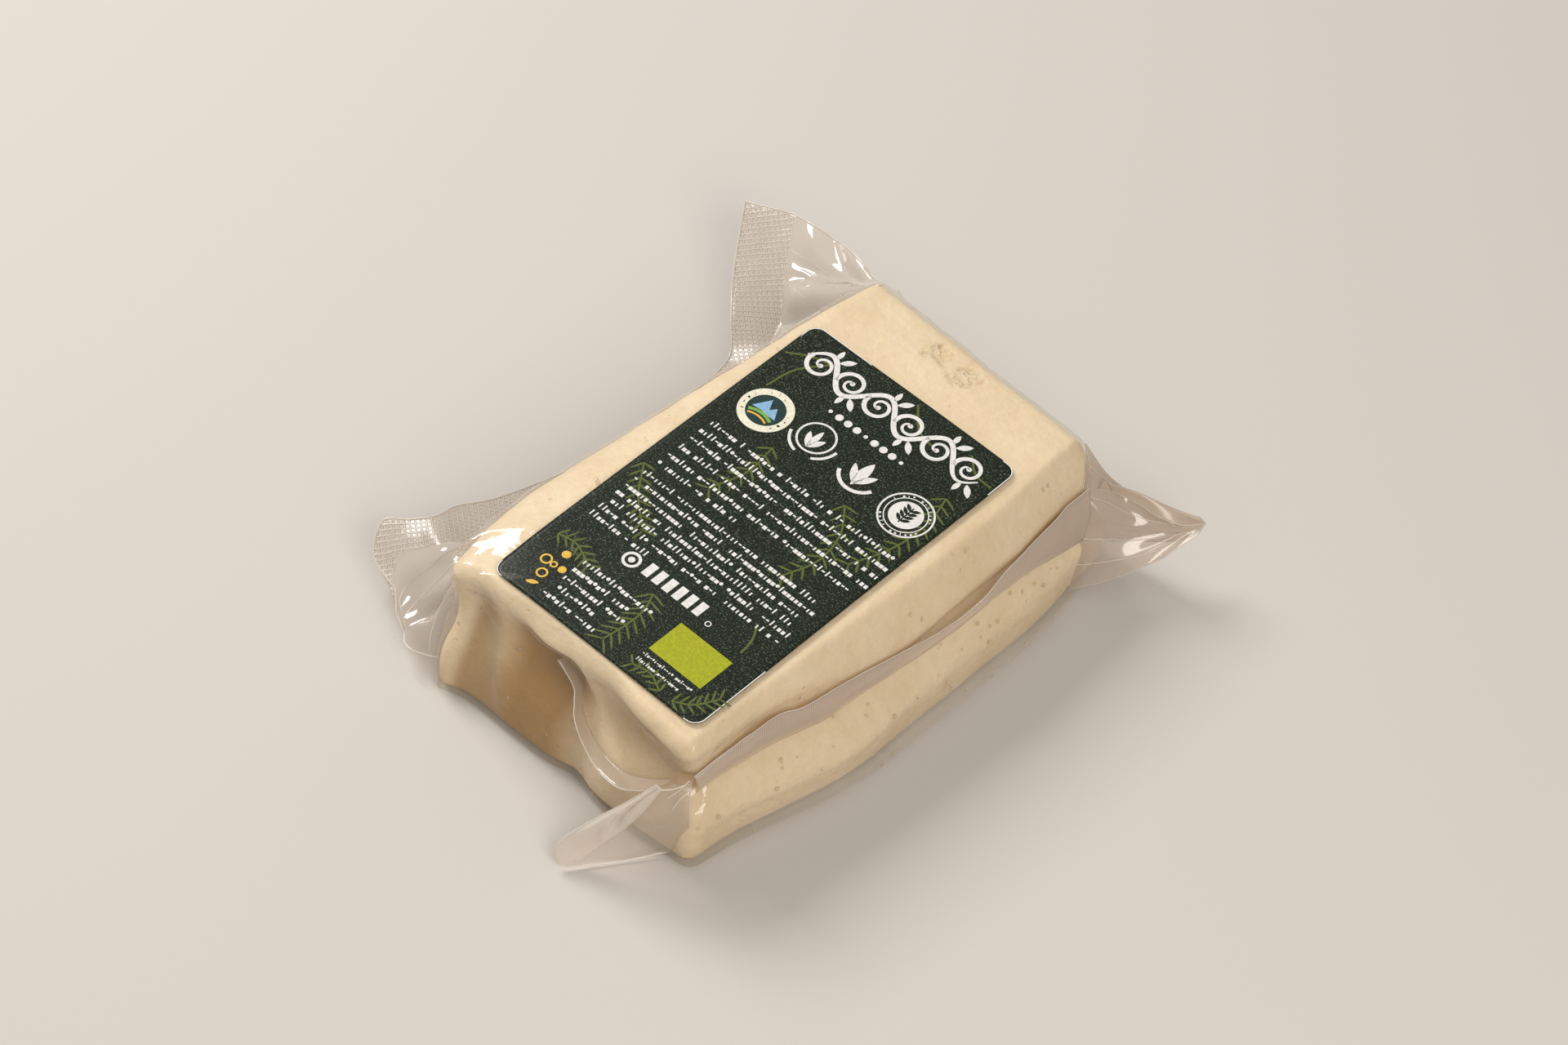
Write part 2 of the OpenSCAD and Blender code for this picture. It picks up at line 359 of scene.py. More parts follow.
film_waves, entry, result = new_group(
    "film_waves", "ShaderNodeTree", [("Scale", "Float", WAVES_SCALE)], [("Height", "Float")]
)
place = add_node(film_waves, "ShaderNodeTexCoord")
drawn = add_node(film_waves, "ShaderNodeMapping")
drawn.inputs["Scale"].default_value = (2.4, 0.32, 2.4)
soft = add_node(film_waves, "ShaderNodeTexNoise", Detail=3.0, Roughness=0.5)
streaks = add_node(film_waves, "ShaderNodeTexNoise", Detail=3.0, Roughness=0.6)
both = add_node(film_waves, "ShaderNodeMath", operation="MULTIPLY_ADD")
both.inputs[1].default_value = 0.5
wire_all(
    film_waves,
    (entry, "Scale", soft, "Scale"),
    (entry, "Scale", streaks, "Scale"),
    (place, "Object", soft, "Vector"),
    (place, "Object", drawn, "Vector"),
    (drawn, "Vector", streaks, "Vector"),
    (streaks, "Fac", both, 0),
    (soft, "Fac", both, 2),
    (both, "Value", result, "Height"),
)


def film_finish(name, haze, tint, roughness, wrinkle):
    """Clear film: see-through with some haze, a faint mirror when faced and a full one at a low angle.
    Returns the material, its tree, the bump of its wrinkles and the mix of its clearness and haze."""
    material, tree = new_material(name)
    waves = add_node(tree, "ShaderNodeGroup", node_tree=film_waves)
    waves.inputs["Scale"].default_value = WAVES_SCALE
    uneven = add_node(tree, "ShaderNodeBump", Strength=wrinkle, Distance=0.001)
    angle = add_node(tree, "ShaderNodeLayerWeight", Blend=0.5)
    steep = add_node(tree, "ShaderNodeMath", operation="POWER")
    steep.inputs[1].default_value = 5.0
    mirror = add_node(tree, "ShaderNodeMath", operation="MULTIPLY_ADD")
    mirror.inputs[1].default_value, mirror.inputs[2].default_value = 0.96, 0.04
    clear = add_node(tree, "ShaderNodeBsdfTransparent", Color=(*tint, 1))
    milky = add_node(tree, "ShaderNodeBsdfDiffuse", Color=(0.74, 0.67, 0.585, 1))
    shine = add_node(tree, "ShaderNodeBsdfAnisotropic", Color=(1, 1, 1, 1), Roughness=roughness)
    body = add_node(tree, "ShaderNodeMixShader", Fac=haze)
    whole = add_node(tree, "ShaderNodeMixShader")
    end = add_node(tree, "ShaderNodeOutputMaterial")
    wire(tree, waves.outputs["Height"], uneven.inputs["Height"])
    for node in (angle, milky, shine):
        wire(tree, uneven.outputs["Normal"], node.inputs["Normal"])
    wire_all(
        tree,
        (angle, "Facing", steep, 0),
        (steep, "Value", mirror, 0),
        (clear, "BSDF", body, 1),
        (milky, "BSDF", body, 2),
        (mirror, "Value", whole, "Fac"),
        (body, "Shader", whole, 1),
        (shine, "BSDF", whole, 2),
        (whole, "Shader", end, "Surface"),
    )
    return material, tree, uneven, body


def finish_film(piece, *materials):
    for material in materials:
        piece.data.materials.append(material)
    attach(piece, "root")


film_points, _ = slab(block_unit, (3.2, 3.7, 1.3), grow=0.3, pinch=0.86, skirt=2.5)
film_out = film_points - cheese_points
stand_off = np.linalg.norm(film_out, axis=1)
film_out = film_out / np.maximum(stand_off, 1e-6)[:, None]
for (gx, gy), depth in GATHERS.items():
    off = film_points - np.array([gx, gy, GATHER_HEIGHT])
    far_off = np.linalg.norm(off * [1, 1, 0.8], axis=1)
    spokes = np.arctan2(off[:, 2], (off[:, 0] * -gy + off[:, 1] * gx) / math.hypot(gx, gy))
    ridges = (1 - np.abs(np.sin(spokes * 4.3 + 1.3 * np.sin(2.7 * spokes + gx) + 0.10 * far_off))) ** 1.8
    fade = bump(far_off, GATHER_REACH) * smooth_step(2, 8, far_off) * smooth_step(0.2, 3, film_points[:, 2])
    film_points = film_points + film_out * (depth * fade * ridges)[:, None]
film_points[:, 2] = np.maximum(film_points[:, 2], FILM_FLOOR)
skin = mesh_piece("drawn_film", film_points, block_faces)
mark_points(skin, "stand_off", smooth_step(1.0, 3.2, stand_off))
skin_film, tree, _, body = film_finish("drawn_film", 0.035, (0.97, 0.95, 0.915), 0.10, 0.45)
gap = add_node(tree, "ShaderNodeAttribute", attribute_name="stand_off")
cloudy = add_node(tree, "ShaderNodeMapRange", To_Min=0.035, To_Max=0.28)
wire_all(tree, (gap, "Fac", cloudy, "Value"), (cloudy, "Result", body, "Fac"))
finish_film(skin, skin_film)

# ---- Side fold -----------------------------------------------------------------------------------
# The doubled film along the right side: a flat fold that stands up from the seam against the upper lobe,
# widest near both ends, finely ribbed and a little hazier along its ribs.

FILM_THICKNESS = 0.16
SIDE_FREE_EDGE = [
    (37.4, 59.0, 25.5), (37.6, 51.9, 25.8), (38.4, 45.3, 25.4), (39.2, 37, 25), (40.2, 28, 25),
    (41.4, 20, 24.5), (41.2, 14.5, 23.5), (40.7, 8, 23.5), (39.6, -1.7, 24.5), (38.4, -10.6, 25.5),
    (37.4, -20, 26.5), (35.9, -30.6, 27), (34.4, -36, 28), (33.4, -44.9, 27.4), (32.7, -50.7, 26.6),
    (31.9, -58.5, 25),
]
SIDE_ROOT = [
    (40.6, 55, 14), (40.9, 45, 17), (40.9, 37.6, 19), (40.9, 28.8, 20), (41.0, 17.7, 20.3),
    (40.4, 1.6, 20.5), (39.6, -5.8, 20), (38.5, -15.9, 20), (37.9, -25.3, 20), (36.6, -30.4, 20),
    (34.9, -38, 20.5), (33.8, -45.5, 20.5), (32.9, -52.2, 20.5), (32.4, -58.5, 20),
]


def spline(stops, count):
    """count points along a smooth curve through the stops, evenly spaced between them by distance."""
    stops = np.asarray(stops, float)
    at = np.concatenate([[0], np.cumsum(np.maximum(np.linalg.norm(np.diff(stops, axis=0), axis=1), 1e-6))])
    slope = np.diff(stops, axis=0) / np.diff(at)[:, None]
    pull = np.vstack([slope[:1], (slope[1:] + slope[:-1]) / 2, slope[-1:]])
    u = np.linspace(0, at[-1], count)
    k = np.clip(np.searchsorted(at, u, side="right") - 1, 0, len(stops) - 2)
    h = (at[k + 1] - at[k])[:, None]
    t = ((u - at[k])[:, None]) / h
    return (
        (1 + 2 * t) * (1 - t) ** 2 * stops[k]
        + t * (1 - t) ** 2 * h * pull[k]
        + t**2 * (3 - 2 * t) * stops[k + 1]
        + t**2 * (t - 1) * h * pull[k + 1]
    )


def sheet(rows, along, across):
    """A grid of points, along by across, through rows of control points that run across it."""
    ribs = np.array([spline(row, across) for row in rows])
    return np.stack([spline(ribs[:, k], along) for k in range(across)], 1)


def lifted(grid, height):
    """The grid with each point moved by its height along the sheet's own normal."""
    normal = np.cross(np.gradient(grid, axis=0), np.gradient(grid, axis=1))
    normal = normal / np.maximum(np.linalg.norm(normal, axis=2, keepdims=True), 1e-9)
    return grid + normal * height[..., None]


def crumple(grid, amount, size, seed):
    """The grid with sharp creases: ridged noise of that size in mm."""
    ridge = 0.5 - 2 * np.abs(cloud(grid.reshape(-1, 3), size, seed, 2)).reshape(grid.shape[:2])
    return lifted(grid, amount * ridge)


def fan(grid, centre, depth, count, seed):
    """The grid with long creases that run out from centre, given in plan, as film does from where it is
    gathered."""
    off = grid[..., :2] - np.array(centre)
    far_off = np.linalg.norm(off, axis=2)
    spoke = np.stack([np.arctan2(off[..., 1], off[..., 0]) * count, far_off / 30, 0 * far_off], 2)
    crease = np.abs(cloud(spoke.reshape(-1, 3), 1.0, seed, 1)).reshape(far_off.shape)
    return lifted(grid, depth * (0.5 - 2.2 * crease) * smooth_step(0, 8, far_off))


def grid_faces(rows, cols):
    """The quads between the points of a grid of that many rows and columns."""
    return [
        (r * cols + c, r * cols + c + 1, (r + 1) * cols + c + 1, (r + 1) * cols + c)
        for r in range(rows - 1)
        for c in range(cols - 1)
    ]


def fold_grid(root, free, steps):
    """A fold's points, from its root line to its free edge in those shares of the way."""
    return np.stack([root + (free - root) * k for k in steps], 1)


def film_sheet(name, grid, plan=False):
    """A sheet of film through a grid of points, which carries its own distances in mm, along and across,
    for its material. With plan they are taken from above instead."""
    rows, cols = grid.shape[:2]
    piece = mesh_piece(name, grid.reshape(-1, 3), grid_faces(rows, cols))
    down = np.cumsum(np.linalg.norm(np.diff(grid, axis=0, prepend=grid[:1]), axis=2).mean(1))
    over = np.cumsum(np.linalg.norm(np.diff(grid, axis=1, prepend=grid[:, :1]), axis=2), axis=1)
    own = np.stack([np.repeat(down[:, None], cols, 1), over, 0 * over], 2)
    mark_points(piece, "sheet_mm", grid[..., [1, 0, 2]] if plan else own, "FLOAT_VECTOR")
    wall = piece.modifiers.new("thickness", "SOLIDIFY")
    wall.thickness, wall.offset = FILM_THICKNESS * MM, 0
    return piece


def lines_across(tree, axis, pitch, low, high):
    """A 0 to 1 pattern of fine lines at that pitch along one of the sheet's own directions."""
    mm = add_node(tree, "ShaderNodeAttribute", attribute_name="sheet_mm")
    run = add_node(tree, "ShaderNodeVectorMath", operation="DOT_PRODUCT")
    run.inputs[1].default_value = [a / pitch for a in axis]
    part = add_node(tree, "ShaderNodeMath", operation="FRACT")
    off = add_node(tree, "ShaderNodeMath", operation="SUBTRACT")
    off.inputs[1].default_value = 0.5
    size = add_node(tree, "ShaderNodeMath", operation="ABSOLUTE")
    line = add_node(tree, "ShaderNodeMapRange", interpolation_type="SMOOTHSTEP", From_Min=low, From_Max=high)
    wire_all(
        tree,
        (mm, "Vector", run, 0),
        (run, "Value", part, 0),
        (part, "Value", off, 0),
        (off, "Value", size, 0),
        (size, "Value", line, "Value"),
    )
    return line.outputs["Result"]


across = np.linspace(0, 1, 9)
side_grid = fold_grid(spline(SIDE_ROOT, 150), spline(SIDE_FREE_EDGE, 150), across)
side_grid[:, :, 0] += (0.9 * np.sin(math.pi * across))[None, :] + 0.25
side_grid = crumple(side_grid, np.tile(0.05 + 0.40 * across, (150, 1)), 14.0, 5.0)
side_fold = film_sheet("side_fold", side_grid)
# Its dark brown tint is partly the doubled film's own colour and partly painted shade of the right side.
fold_film, tree, _, body = film_finish("folded_film", 0.30, (0.78, 0.67, 0.55), 0.30, 0.15)
ribs = lines_across(tree, (1, 0.25, 0), 0.55, 0.15, 0.40)
rib_haze = add_node(tree, "ShaderNodeMix", data_type="FLOAT")
rib_haze.inputs[2].default_value, rib_haze.inputs[3].default_value = 0.27, 0.35
wire(tree, ribs, rib_haze.inputs[0])
wire(tree, rib_haze.outputs[0], body.inputs["Fac"])
finish_film(side_fold, fold_film)

# ---- Near fold -----------------------------------------------------------------------------------
# The same doubled film across the near end, where the pocket's two walls meet: a narrow strip that swings
# down in an S from under the overhanging top edge to the near right corner.

NEAR_FREE_EDGE = [
    (-9.0, -57.2, 25.5), (-6.6, -57.4, 24.2), (-4.2, -57.9, 23), (-2.4, -58.8, 22),
    (-1.1, -60.2, 21), (0.6, -62.1, 20), (3.6, -63.6, 17.6), (8.6, -65.2, 15.8),
    (13.8, -66.6, 15.8), (19.0, -67.4, 17.4), (24.2, -66.9, 20.8), (28.4, -65.8, 24.5),
]
near_free = spline(NEAR_FREE_EDGE, 110)
near_root = near_free + np.array([0, 4.6, -1.0])
near_root[:, 0] -= 2.6 * np.sin(math.pi * np.linspace(0, 1, 110))
across = np.linspace(0, 1, 7)
near_grid = crumple(fold_grid(near_root, near_free, across), np.tile(0.3 * across, (110, 1)), 9.0, 11.0)
near_fold = film_sheet("near_fold", near_grid)
loose_film = film_finish("loose_film", 0.15, (0.91, 0.885, 0.86), 0.09, 0.08)[0]
finish_film(near_fold, loose_film)

# ---- Far fold ------------------------------------------------------------------------------------
# The far end's fold: the same clear film doubled flat, as a short plain fin at the seam's height between the
# two far flaps. It starts a little inside the drawn film, so that no gap shows.

far_x = np.linspace(-31, 33, 60)
far_root = np.stack([far_x, 67.6 - 0.055 * (far_x + 31), 20.5 + 0.6 * np.sin(far_x / 7)], 1)
far_free = far_root + np.stack([0 * far_x, 2.6 + 0.6 * np.sin(far_x / 9), 0.7 * np.cos(far_x / 6) - 0.6], 1)
far_grid = crumple(fold_grid(far_root, far_free, np.linspace(-0.3, 1, 9)), 0.3, 9.0, 17.0)
finish_film(film_sheet("far_fold", far_grid), loose_film)

# ---- Sealed strip and left flaps -----------------------------------------------------------------
# The bag's heat-sealed edge, embossed with a diamond pattern, which runs low along the left side and swings
# out at both corners, joined to the block by loose crumpled film.

LEFT_ROWS = [  # outer edge of the seal, its inner edge, loose film, and where that meets the block
    [(-57.5, -58.3, 7), (-53.6, -61.9, 6), (-45.7, -66.0, 5), (-36.5, -63.2, 6)],
    [(-67.4, -55.4, 8), (-60.0, -57.0, 7.5), (-48.0, -63.5, 7.5), (-37.0, -60.5, 10)],
    [(-70.7, -49.3, 12), (-62.0, -52.5, 10.5), (-52.0, -58.0, 8), (-37.5, -58.5, 15)],
    [(-66.5, -45.9, 13), (-58.3, -48.8, 13), (-50.0, -53.0, 12), (-39.5, -55.5, 19)],
    [(-62.7, -41.9, 14), (-56.2, -47.0, 15), (-49.5, -48.0, 15), (-41.0, -50.0, 20)],
    [(-62.9, -35.0, 11.5), (-53.6, -40.1, 12), (-48.0, -41.0, 14), (-42.0, -42.0, 18)],
    [(-60.0, -27.5, 10), (-50.0, -31.0, 11), (-46.5, -32.0, 14), (-43.0, -30.0, 17)],
    [(-55.5, -8.0, 8), (-47.0, -10.0, 9), (-45.0, -10.0, 12), (-42.8, -10.0, 15)],
    [(-54.0, 18.0, 7), (-45.5, 20.0, 9), (-43.5, 20.0, 12), (-41.3, 20.0, 16)],
    [(-54.8, 43.1, 7), (-47.0, 46.0, 9.5), (-42.5, 46.0, 14), (-37.5, 44.0, 20)],
    [(-60.5, 49.5, 9.5), (-52.0, 56.8, 10), (-43.5, 57.0, 17), (-36.0, 54.0, 23)],
    [(-67.4, 57.0, 12), (-56.8, 62.8, 14), (-45.5, 64.0, 20), (-34.8, 61.5, 27)],
    [(-73.0, 64.5, 16), (-61.5, 69.2, 18), (-48.5, 69.5, 23), (-33.0, 65.0, 30)],
    [(-78.0, 71.7, 20), (-66.2, 75.5, 22), (-50.5, 74.3, 25), (-31.5, 67.0, 31)],
]
STRIP_CELLS, FILM_CELLS, LEFT_CELLS = 12, 30, 240  # over the seal, over the loose film, and along both
outer = sheet([row[:2] for row in LEFT_ROWS], LEFT_CELLS, STRIP_CELLS + 1)
inner = sheet([row[1:] for row in LEFT_ROWS], LEFT_CELLS, FILM_CELLS + 1)
left_grid = np.concatenate([outer, inner[:, 1:]], 1)
over = np.arange(left_grid.shape[1])
held = STRIP_CELLS + FILM_CELLS + 2
loose = smooth_step(STRIP_CELLS - 1, STRIP_CELLS + 7, over) * smooth_step(held, held - 10, over)
near_part, far_part = bump(left_grid[:, :, 1] + 52, 17), bump(left_grid[:, :, 1] - 68, 18)
left_grid = fan(left_grid, (-43.0, -38.0), 3.2 * near_part * loose, 2.2, 23.0)
left_grid = fan(left_grid, (-31.0, 66.0), 3.4 * far_part * loose, 2.6, 27.0)
left_grid = crumple(left_grid, 0.15 + 0.1 * (near_part + far_part) * loose, 12.0, 31.0)
left_grid[:, :, 2] = np.maximum(left_grid[:, :, 2], 0.6)
left_film = film_sheet("left_flaps", left_grid, plan=True)
strip_faces = [int(i % (left_grid.shape[1] - 1) < STRIP_CELLS) for i in range(len(left_film.data.polygons))]
left_film.data.polygons.foreach_set("material_index", strip_faces)
sealed_film, tree, uneven, body = film_finish("sealed_film", 0.30, (0.86, 0.82, 0.785), 0.25, 0.25)
diamonds = add_node(tree, "ShaderNodeMath", operation="MAXIMUM")
wire(tree, lines_across(tree, (1, 0.78, 0), 1.5, 0.30, 0.46), diamonds.inputs[0])
wire(tree, lines_across(tree, (1, -0.78, 0), 1.5, 0.30, 0.46), diamonds.inputs[1])
emboss = add_node(tree, "ShaderNodeBump", Strength=0.9, Distance=0.0004)
wire_all(tree, (diamonds, "Value", emboss, "Height"), (uneven, "Normal", emboss, "Normal"))
film_shaders = [link.to_socket for link in tree.links if link.from_node == uneven and link.to_node != emboss]
for socket in film_shaders:
    wire(tree, emboss.outputs["Normal"], socket)
# Hazier along the embossed lines: partly the seal's own milkiness, partly painted highlight for the glints on
# the ridges.
haze_and_glint = add_node(tree, "ShaderNodeMix", data_type="FLOAT")
haze_and_glint.inputs[2].default_value, haze_and_glint.inputs[3].default_value = 0.22, 0.48
wire_all(tree, (diamonds, "Value", haze_and_glint, 0), (haze_and_glint, 0, body, "Fac"))
finish_film(left_film, loose_film, sealed_film)

# ---- Far right flap ------------------------------------------------------------------------------
# The pointed flap at the far right corner: a front and a back wall that leave the corner and meet in a
# crease, and a ribbed double flange along the top that runs out to the tip.

TIP = (57.0, 77.6, 15)
FRONT_ROWS = [
    [(33.5, 62.5, 28), (35.6, 64.0, 25), (37.8, 65.8, 22.5), (46.4, 68.2, 19), (53.9, 71.0, 17), TIP],
    [(36.8, 57.5, 23), (41.5, 61.0, 20), (44.0, 66.3, 18), (49.5, 69.5, 16.5), (54.5, 72.6, 15.8), TIP],
    [(39.8, 54.0, 14), (44.5, 58.5, 13), (49.0, 66.8, 14), (52.5, 70.0, 13.5), (55.5, 73.8, 14.5), TIP],
    [(42.0, 50.5, 2.0), (47.0, 56.0, 4.5), (54.6, 67.0, 10), (56.0, 71.0, 12), (57.2, 74.5, 13.5), TIP],
]
BACK_ROWS = [
    [(30.0, 66.0, 29), (35.0, 67.0, 24), (42.8, 68.5, 20), (49.6, 73.0, 17.5), (55.0, 76.0, 16), TIP],
    [(33.0, 66.0, 14), (38.0, 68.0, 13), (44.5, 69.8, 13.5), (51.0, 73.0, 14), (55.5, 76.3, 14.6), TIP],
    [(36.0, 66.0, 2), (41.0, 67.0, 4), (46.0, 69.0, 6.5), (52.5, 71.5, 10), (56.5, 75.0, 12.8), TIP],
]
FLANGE_ROWS = [
    [(40.2, 64.2, 23), (46.4, 68.0, 19.6), (53.9, 70.9, 17.6), TIP],
    [(38.6, 63.0, 25.5), (44.4, 68.2, 22.5), (51.8, 73.0, 19), (56.2, 77.2, 16)],
    [(38.0, 62.0, 23.6), (42.8, 67.2, 21), (49.6, 73.2, 17.6), (55.6, 77.4, 16)],
]
flap_film = film_finish("flap_film", 0.20, (0.86, 0.81, 0.765), 0.12, 0.06)[0]
far_right_lines = []
for name, rows, cells, depth, seed, film, creases in (
    ("far_right_front", FRONT_ROWS, (49, 70), 0.5, 41.0, flap_film, (10, 27, 38)),
    ("far_right_back", BACK_ROWS, (41, 60), 0.45, 43.0, flap_film, (9, 22, 31)),
    ("far_right_flange", FLANGE_ROWS, (14, 60), 0.0, 47.0, fold_film, ()),
):
    grid = sheet(rows, *cells)
    free = np.sin(math.pi * np.linspace(0, 1, cells[1])) ** 0.6
    grid = fan(grid, TIP[:2], depth * free, 5.0, seed)
    finish_film(film_sheet(name, grid), film)
    far_right_lines += [grid[0], grid[-1], *(grid[row] for row in creases)]

# ---- Near right flap -----------------------------------------------------------------------------
# The flap at the near right corner: a rounded lobe of doubled film gathered under the top corner, creased
# down its middle, whose right wing runs back to the block's upright corner and the floor.

LOBE_EDGE = [
    (28.4, -65.8, 25.5), (24.0, -69.2, 19), (19.0, -73.9, 12.5), (15.8, -78.0, 8),
    (14.5, -80.3, 5.2), (14.8, -81.5, 3.2), (16.2, -81.6, 1.6), (17.8, -80.4, 0.9),
]
LOBE_CREASE = [
    (29.5, -65.4, 25), (27.5, -69.2, 18), (24.5, -72, 11.5), (21.5, -74.5, 6), (20.0, -76.3, 3.2),
    (19.2, -77.6, 1.9), (18.6, -78.8, 1.2), (18.4, -79.6, 0.9),
]
CORNER_LINE = [
    (32.6, -60, 25), (33.2, -60.8, 18), (33.6, -61.0, 13), (33.4, -61.6, 8), (31.8, -62.4, 3.4),
    (29.8, -62.8, 1.0),
]
DOWN, LOBE_ACROSS, WING_ACROSS = 46, 20, 26


def swell(count):
    """Heights that rise from 0 to 1 and fall back, at that many points."""
    return np.sin(math.pi * np.linspace(0, 1, count))


def bellied(start, end, out, across):
    """A sheet between two lines, which bellies out by that much half way."""
    middle = (start + end) / 2 + swell(DOWN)[:, None] * np.array(out)
    return sheet(np.stack([start, middle, end], 1), DOWN, across)


edge, crease, corner = (spline(line, DOWN) for line in (LOBE_EDGE, LOBE_CREASE, CORNER_LINE))
lobe = bellied(edge, crease, (-1.0, -1.4, 0.6), LOBE_ACROSS)
wing = bellied(crease, corner, (0.9, 1.1, -0.4), WING_ACROSS)
lobe = fan(lobe, (31.0, -63.0), np.tile(0.9 * swell(LOBE_ACROSS), (DOWN, 1)), 14.0, 53.0)
wing = crumple(wing, np.tile(0.9 * swell(WING_ACROSS), (DOWN, 1)), 14.0, 59.0)
for grid in (lobe, wing):
    grid[:, :, 2] = np.maximum(grid[:, :, 2], 0.4)
lobe_film = film_finish("lobe_film", 0.50, (0.86, 0.81, 0.78), 0.14, 0.10)[0]
finish_film(film_sheet("near_right_lobe", lobe), lobe_film)
finish_film(film_sheet("near_right_wing", wing), loose_film)

# ---- Film edges and wetness ----------------------------------------------------------------------
# The cut and folded rims of the bag, which catch the light as thin bright threads, and the small drops of
# whey that sit under the film low on the right side, on the near end and along the top's left edge.


def new_rule(name, *inputs):
    """A geometry node group with a mesh, those inputs and a material going in, and a mesh coming out."""
    inputs = [("Geometry", "Geometry", None), *inputs, ("Material", "Material", None)]
    return new_group(name, "GeometryNodeTree", inputs, [("Geometry", "Geometry")])


def end_rule(rule, entry, result, made):
    """Ends the rule: what it made becomes real, gets the material and goes out."""
    real = add_node(rule, "GeometryNodeRealizeInstances")
    paint = add_node(rule, "GeometryNodeSetMaterial")
    wire(rule, made, real.inputs["Geometry"])
    wire_all(
        rule,
        (real, "Geometry", paint, "Geometry"),
        (entry, "Material", paint, "Material"),
        (paint, "Geometry", result, "Geometry"),
    )


def apply_rule(piece, rule, **values):
    """Runs the rule on the piece's mesh with those inputs, and keeps the result as a plain mesh."""
    work = piece.modifiers.new(rule.name, "NODES")
    work.node_group = rule
    for socket in rule.interface.items_tree:
        if socket.in_out == "INPUT" and socket.name in values:
            work[socket.identifier] = values[socket.name]
    made = piece.evaluated_get(bpy.context.evaluated_depsgraph_get())
    mesh = bpy.data.meshes.new_from_object(made)
    piece.modifiers.clear()
    piece.data = mesh
    piece.data.name = piece.name


def line_piece(name, lines):
    """A mesh of edges only, one chain of points in mm for each line."""
    points, edges = [], []
    for line in lines:
        edges += [(k, k + 1) for k in range(len(points), len(points) + len(line) - 1)]
        points += list(line)
    return mesh_piece(name, points, [], edges)


thread, entry, result = new_rule("thread_along_edges", ("Radius", "Float", 0.0002))
path = add_node(thread, "GeometryNodeMeshToCurve")
profile = add_node(thread, "GeometryNodeCurvePrimitiveCircle", Resolution=6)
tube = add_node(thread, "GeometryNodeCurveToMesh", Fill_Caps=True)
wire_all(
    thread,
    (entry, "Geometry", path, "Mesh"),
    (entry, "Radius", profile, "Radius"),
    (path, "Curve", tube, "Curve"),
    (profile, "Curve", tube, "Profile Curve"),
)
end_rule(thread, entry, result, tube.outputs["Mesh"])

LOBE_FOOT = [LOBE_EDGE[-1], (24, -72, 0.5), CORNER_LINE[-1]]
GATHERED_LINES = [  # short creases where the lobe is gathered under the top corner
    [(28.8, -66.2, 24.6), (31.4, -64.4, 25.6), (33.2, -62.2, 26.8)],
    [(30.8, -65.0, 22.6), (32.2, -63.8, 24.8), (33.6, -61.6, 28.0)],
    [(32.0, -64.6, 19.6), (33.0, -63.2, 23.0), (34.4, -60.6, 25.4)],
]
FAR_LEFT_CREASES = (198, 214, 226)  # rows of the left film
NEAR_LEFT_CREASES = ((6, 74, 7), (4, 58, 13), (12, 66, 19), (2, 44, 24))  # first row, last row, how far in
crease_lines = [crease, corner, *far_right_lines]
crease_lines += [left_grid[row, STRIP_CELLS:-6] for row in FAR_LEFT_CREASES]
crease_lines += [spline(line, 12) for line in GATHERED_LINES]
crease_lines += [left_grid[first:last, STRIP_CELLS + k] for first, last, k in NEAR_LEFT_CREASES]
rim_film = film_finish("film_rim", 0.55, (0.9, 0.88, 0.86), 0.12, 0.0)[0]
for name, radius, lines in (
    ("outer_rims", 0.22, [left_grid[:, 0], left_grid[0], left_grid[-1], lobe[:, 0], spline(LOBE_FOOT, 20)]),
    ("fold_rims", 0.13, [side_grid[:, -1], near_grid[:, -1], far_grid[:, -1], left_grid[:, STRIP_CELLS]]),
    ("crease_rims", 0.12, crease_lines),
):
    rims = line_piece(name, [np.maximum(line, [-1e3, -1e3, radius]) for line in lines])
    apply_rule(rims, thread, Radius=radius * MM, Material=rim_film)
    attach(rims, "root")

drops, entry, result = new_rule(
    "drops_under_film",
    ("Density", "Float", 20000.0),
    ("Smallest", "Float", 0.00015),
    ("Largest", "Float", 0.0006),
    ("Seed", "Int", 7),
)
spread = add_node(drops, "GeometryNodeDistributePointsOnFaces")
drop = add_node(drops, "GeometryNodeMeshUVSphere", Segments=9, Rings=5, Radius=1.0)
size = add_node(drops, "FunctionNodeRandomValue", data_type="FLOAT")
squash = add_node(drops, "ShaderNodeCombineXYZ")
flatter = add_node(drops, "ShaderNodeMath", operation="MULTIPLY")
flatter.inputs[1].default_value = 0.45
place = add_node(drops, "GeometryNodeInstanceOnPoints")
soften = add_node(drops, "GeometryNodeSetShadeSmooth")
wire_all(
    drops,
    (entry, "Geometry", spread, "Mesh"),
    (entry, "Density", spread, "Density"),
    (entry, "Seed", spread, "Seed"),
    (entry, "Smallest", size, 2),
    (entry, "Largest", size, 3),
    (entry, "Seed", size, "Seed"),
    (size, 1, squash, "X"),
    (size, 1, squash, "Y"),
    (size, 1, flatter, 0),
    (flatter, "Value", squash, "Z"),
    (spread, "Points", place, "Points"),
    (spread, "Rotation", place, "Rotation"),
    (squash, "Vector", place, "Scale"),
    (drop, "Mesh", soften, "Geometry"),
    (soften, "Geometry", place, "Instance"),
)
end_rule(drops, entry, result, place.outputs["Instances"])

whey = film_finish("whey_drop", 0.12, (0.90, 0.86, 0.78), 0.03, 0.0)[0]
x, y, z = film_points[block_faces].mean(1).T
for name, chosen, density, seed in (
    ("side_drops", (x > 36) & (np.abs(z - 9.5) < 8) & (np.abs(y) < 56), 22000.0, 7),
    ("end_drops", (y < -56) & (np.abs(z - 14) < 12) & (np.abs(x) < 32), 9000.0, 19),
    ("top_drops", (x < -33) & (z > 26), 9000.0, 3),
):
    zone = mesh_piece(name, film_points, block_faces[chosen])
    apply_rule(zone, drops, Density=density, Seed=seed, Material=whey)
    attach(zone, "root")

